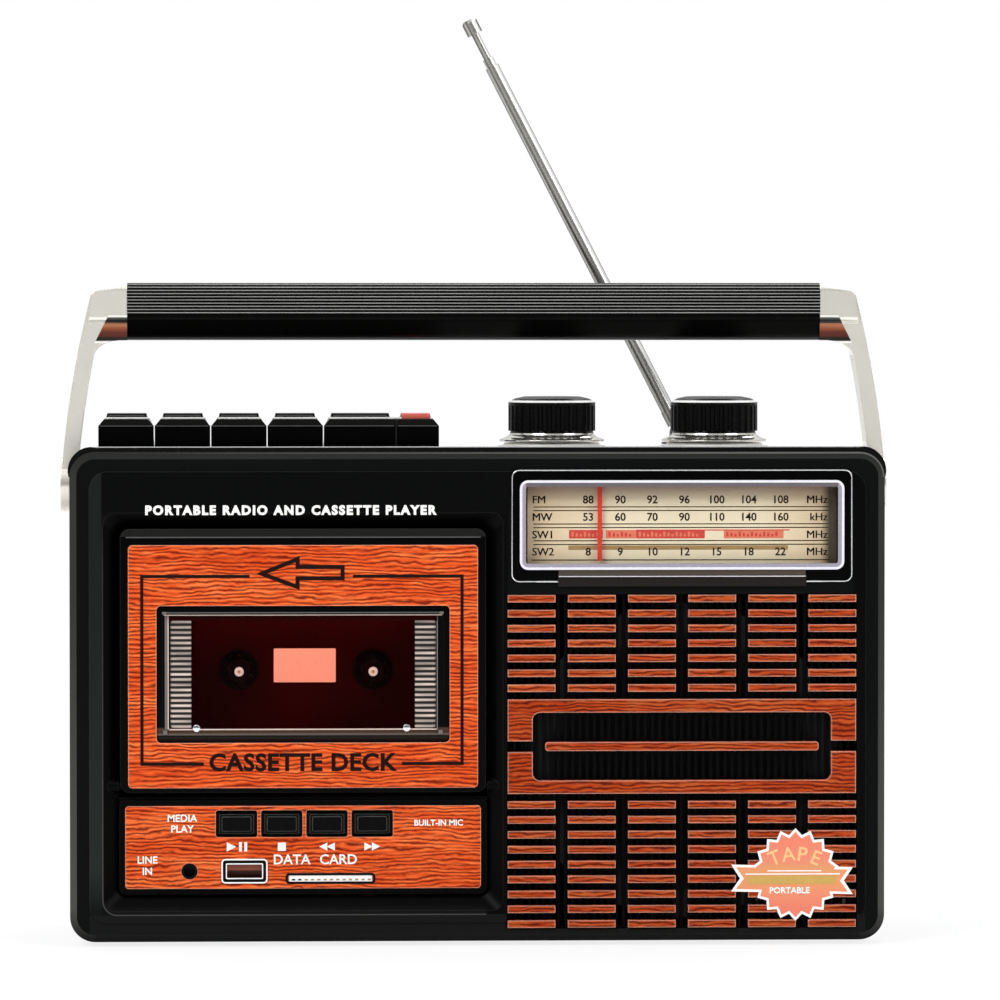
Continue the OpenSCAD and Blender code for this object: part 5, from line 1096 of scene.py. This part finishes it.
outer, inner = [], []
for step, reach in enumerate(LIP_REACH):
    angle = math.radians(90 - LIP_STEP * step)
    for line, r in ((outer, reach), (inner, LIP_INNER)):
        line.append((CORNER_X / MM + r * math.cos(angle), CORNER_Z / MM + r * math.sin(angle)))
other_outer, other_inner = [(-x, z) for x, z in outer[::-1]], [(-x, z) for x, z in inner]
outline("top_lip", other_outer + outer + inner[::-1] + other_inner, LIP_FRONT, LIP_BACK - LIP_FRONT,
        pad_black)
bar("deck_line", -LIP_X, LIP_X, LIP_TOP - 0.1, LIP_TOP + 0.3, LIP_BACK, 1.6, ink.deck, radius=0.15)
for knob in ("volume_knob", "tuning_knob"):
    x, y, _ = middle_of(knob)
    deselect()
    bpy.ops.mesh.primitive_cylinder_add(vertices=72, radius=DISC_R * MM, depth=DISC_H * MM,
                                        location=(x * MM, y * MM, DISC_Z * MM))
    apply_place()
    bevel(lambda key, a, b: min(a.z, b.z) > DISC_Z * MM, DISC_EDGE)
    settle(knob + "_disc", trim_bright, "cabinet")

# %% [markdown]
# A paper star sits on the lower right of the grille, with a swallow-tailed ribbon across it: a white
# border, a salmon field, a plain gold band, two pale rules and two generic words. A loop over the
# angle sets its points, and its layers are as thin as paper.

# %% Paper star
STAR_X, STAR_Z, STAR_R, POINTS, NOTCH, NARROW = 100.5, 22.2, 14.7, 18, 0.86, 0.95
ARCH = (("T", 93.9, 27.3, -22), ("A", 98.3, 28.4, -7), ("P", 102.6, 28.4, 7), ("E", 106.9, 27.3, 22))
star_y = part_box("grille_slats")[0].y / MM
field_y, print_y = star_y - 0.3, star_y - 0.34


def star_points(reach):
    points = []
    for i in range(2 * POINTS):
        angle = math.pi * (i / POINTS + 0.5)
        r = reach if i % 2 == 0 else reach * NOTCH
        points.append((STAR_X + r * NARROW * math.cos(angle), STAR_Z + r * math.sin(angle)))
    return points


def ribbon_points(inset):
    """Corners from the upper left round to the notch on the left. The right end hangs a little lower."""
    start, end, tail = 80.1 + 1.9 * inset, 118.7 - 1.9 * inset, 2.8 - 0.3 * inset
    return ((start, 25.4 - inset), (end, 24.5 - inset), (end - tail, 20.2), (end, 15.9 + inset),
            (start, 16.9 + inset), (start + tail, 21.0))


join("star_border", [outline("paper", star_points(STAR_R), star_y - 0.25, 0.25, ink.pale),
                     outline("paper", ribbon_points(0.0), field_y, 0.1, ink.pale)])
join("star_field", [outline("paper", star_points(STAR_R * 0.92), print_y, 0.1, star_salmon),
                    outline("paper", ribbon_points(0.8), star_y - 0.36, 0.1, star_salmon)])
bar("star_band", 85.4, 113.2, 19.2, 21.8, field_y, 0.12, ink.gold)
join("star_rules", [bar("rule", x0, x1, z, z + 0.35, field_y, 0.14, ink.pale)
                    for x0, x1, z in ((91.6, 108.7, 23.2), (84.6, 114.6, 22.2))])
join("star_word", [lettering(letter, x, z, print_y, 6.4, ink.cream, weight=0.05, turn=turn)
                   for letter, x, z, turn in ARCH])
lettering("PORTABLE", 98.6, 17.1, print_y, 2.7, ink.pale, name="star_note", weight=0.06)
print("star on the grille at y", round(star_y, 2))

# %% [markdown]
# Light: a pale room that is dim in front, so that black stays black, a large soft lamp high on the
# left, a weaker one on the right and one behind. More light could whiten the background, but it would
# bleach the radio. So the room, and most of the floor's colour, are plain white for the camera alone.

# %% Floor
WHITE = (1.0, 1.0, 1.0)
deselect()
bpy.ops.mesh.primitive_plane_add(size=9.0, location=(0, 0, -0.2 * MM))
floor = rename(bpy.context.active_object, "floor")
pale = Finish("floor_pale")
far = pale.node("VectorMath", {"operation": "LENGTH"}, {0: pale.place}, out="Value").spread(0.2, 0.75)
floor.data.materials.append(pale.surface(pale.node("MixShader", inputs={
    0: pale.node("LightPath", out="Is Camera Ray") * (far * 0.18 + 0.82),
    1: pale.node("BsdfDiffuse", inputs={"Color": (0.86, 0.86, 0.86)}),
    2: pale.node("Emission", inputs={"Color": WHITE, "Strength": 1.0}),
})))
print("floor:", floor.dimensions.x, "m wide")

# %% Room and lamps
world = bpy.data.worlds.new("room")
world.use_nodes = True
bpy.context.scene.world = world
room = Nodes(world.node_tree)
facing = room.node("TexCoord", out="Generated")
depth, height = (room.node("SeparateXYZ", inputs={"Vector": facing}, out=axis) for axis in (1, 2))
strength = depth.spread(-0.95, -0.1) * 0.5 + height.spread(0.15, 0.75) * 0.55 + 0.1
room.output("World", room.node("MixShader", inputs={
    0: room.node("LightPath", out="Is Camera Ray"),
    1: room.node("Background", inputs={"Color": (0.97, 0.99, 1.0), "Strength": strength}),
    2: room.node("Background", inputs={"Color": WHITE, "Strength": 1.0}),
}))


def lamp(name, place, towards, size, power):
    light = bpy.data.lights.new(name, "AREA")
    light.shape, light.size, light.size_y, light.energy = "RECTANGLE", size[0], size[1], power
    holder = bpy.data.objects.new(name, light)
    bpy.context.scene.collection.objects.link(holder)
    holder.location = place
    holder.rotation_euler = (Vector(towards) - Vector(place)).to_track_quat("-Z", "Y").to_euler()


lamp("key_lamp", (-1.3, -1.5, 1.7), (0, 0, 0.1), (1.2, 1.2), 34.0)
lamp("fill_lamp", (1.6, -1.3, 1.2), (0, 0, 0.1), (1.0, 1.4), 16.0)
lamp("rear_lamp", (0.4, 1.4, 1.7), (0, 0, 0.15), (1.6, 0.8), 16.0)
print("lamps:", len(bpy.data.lights))
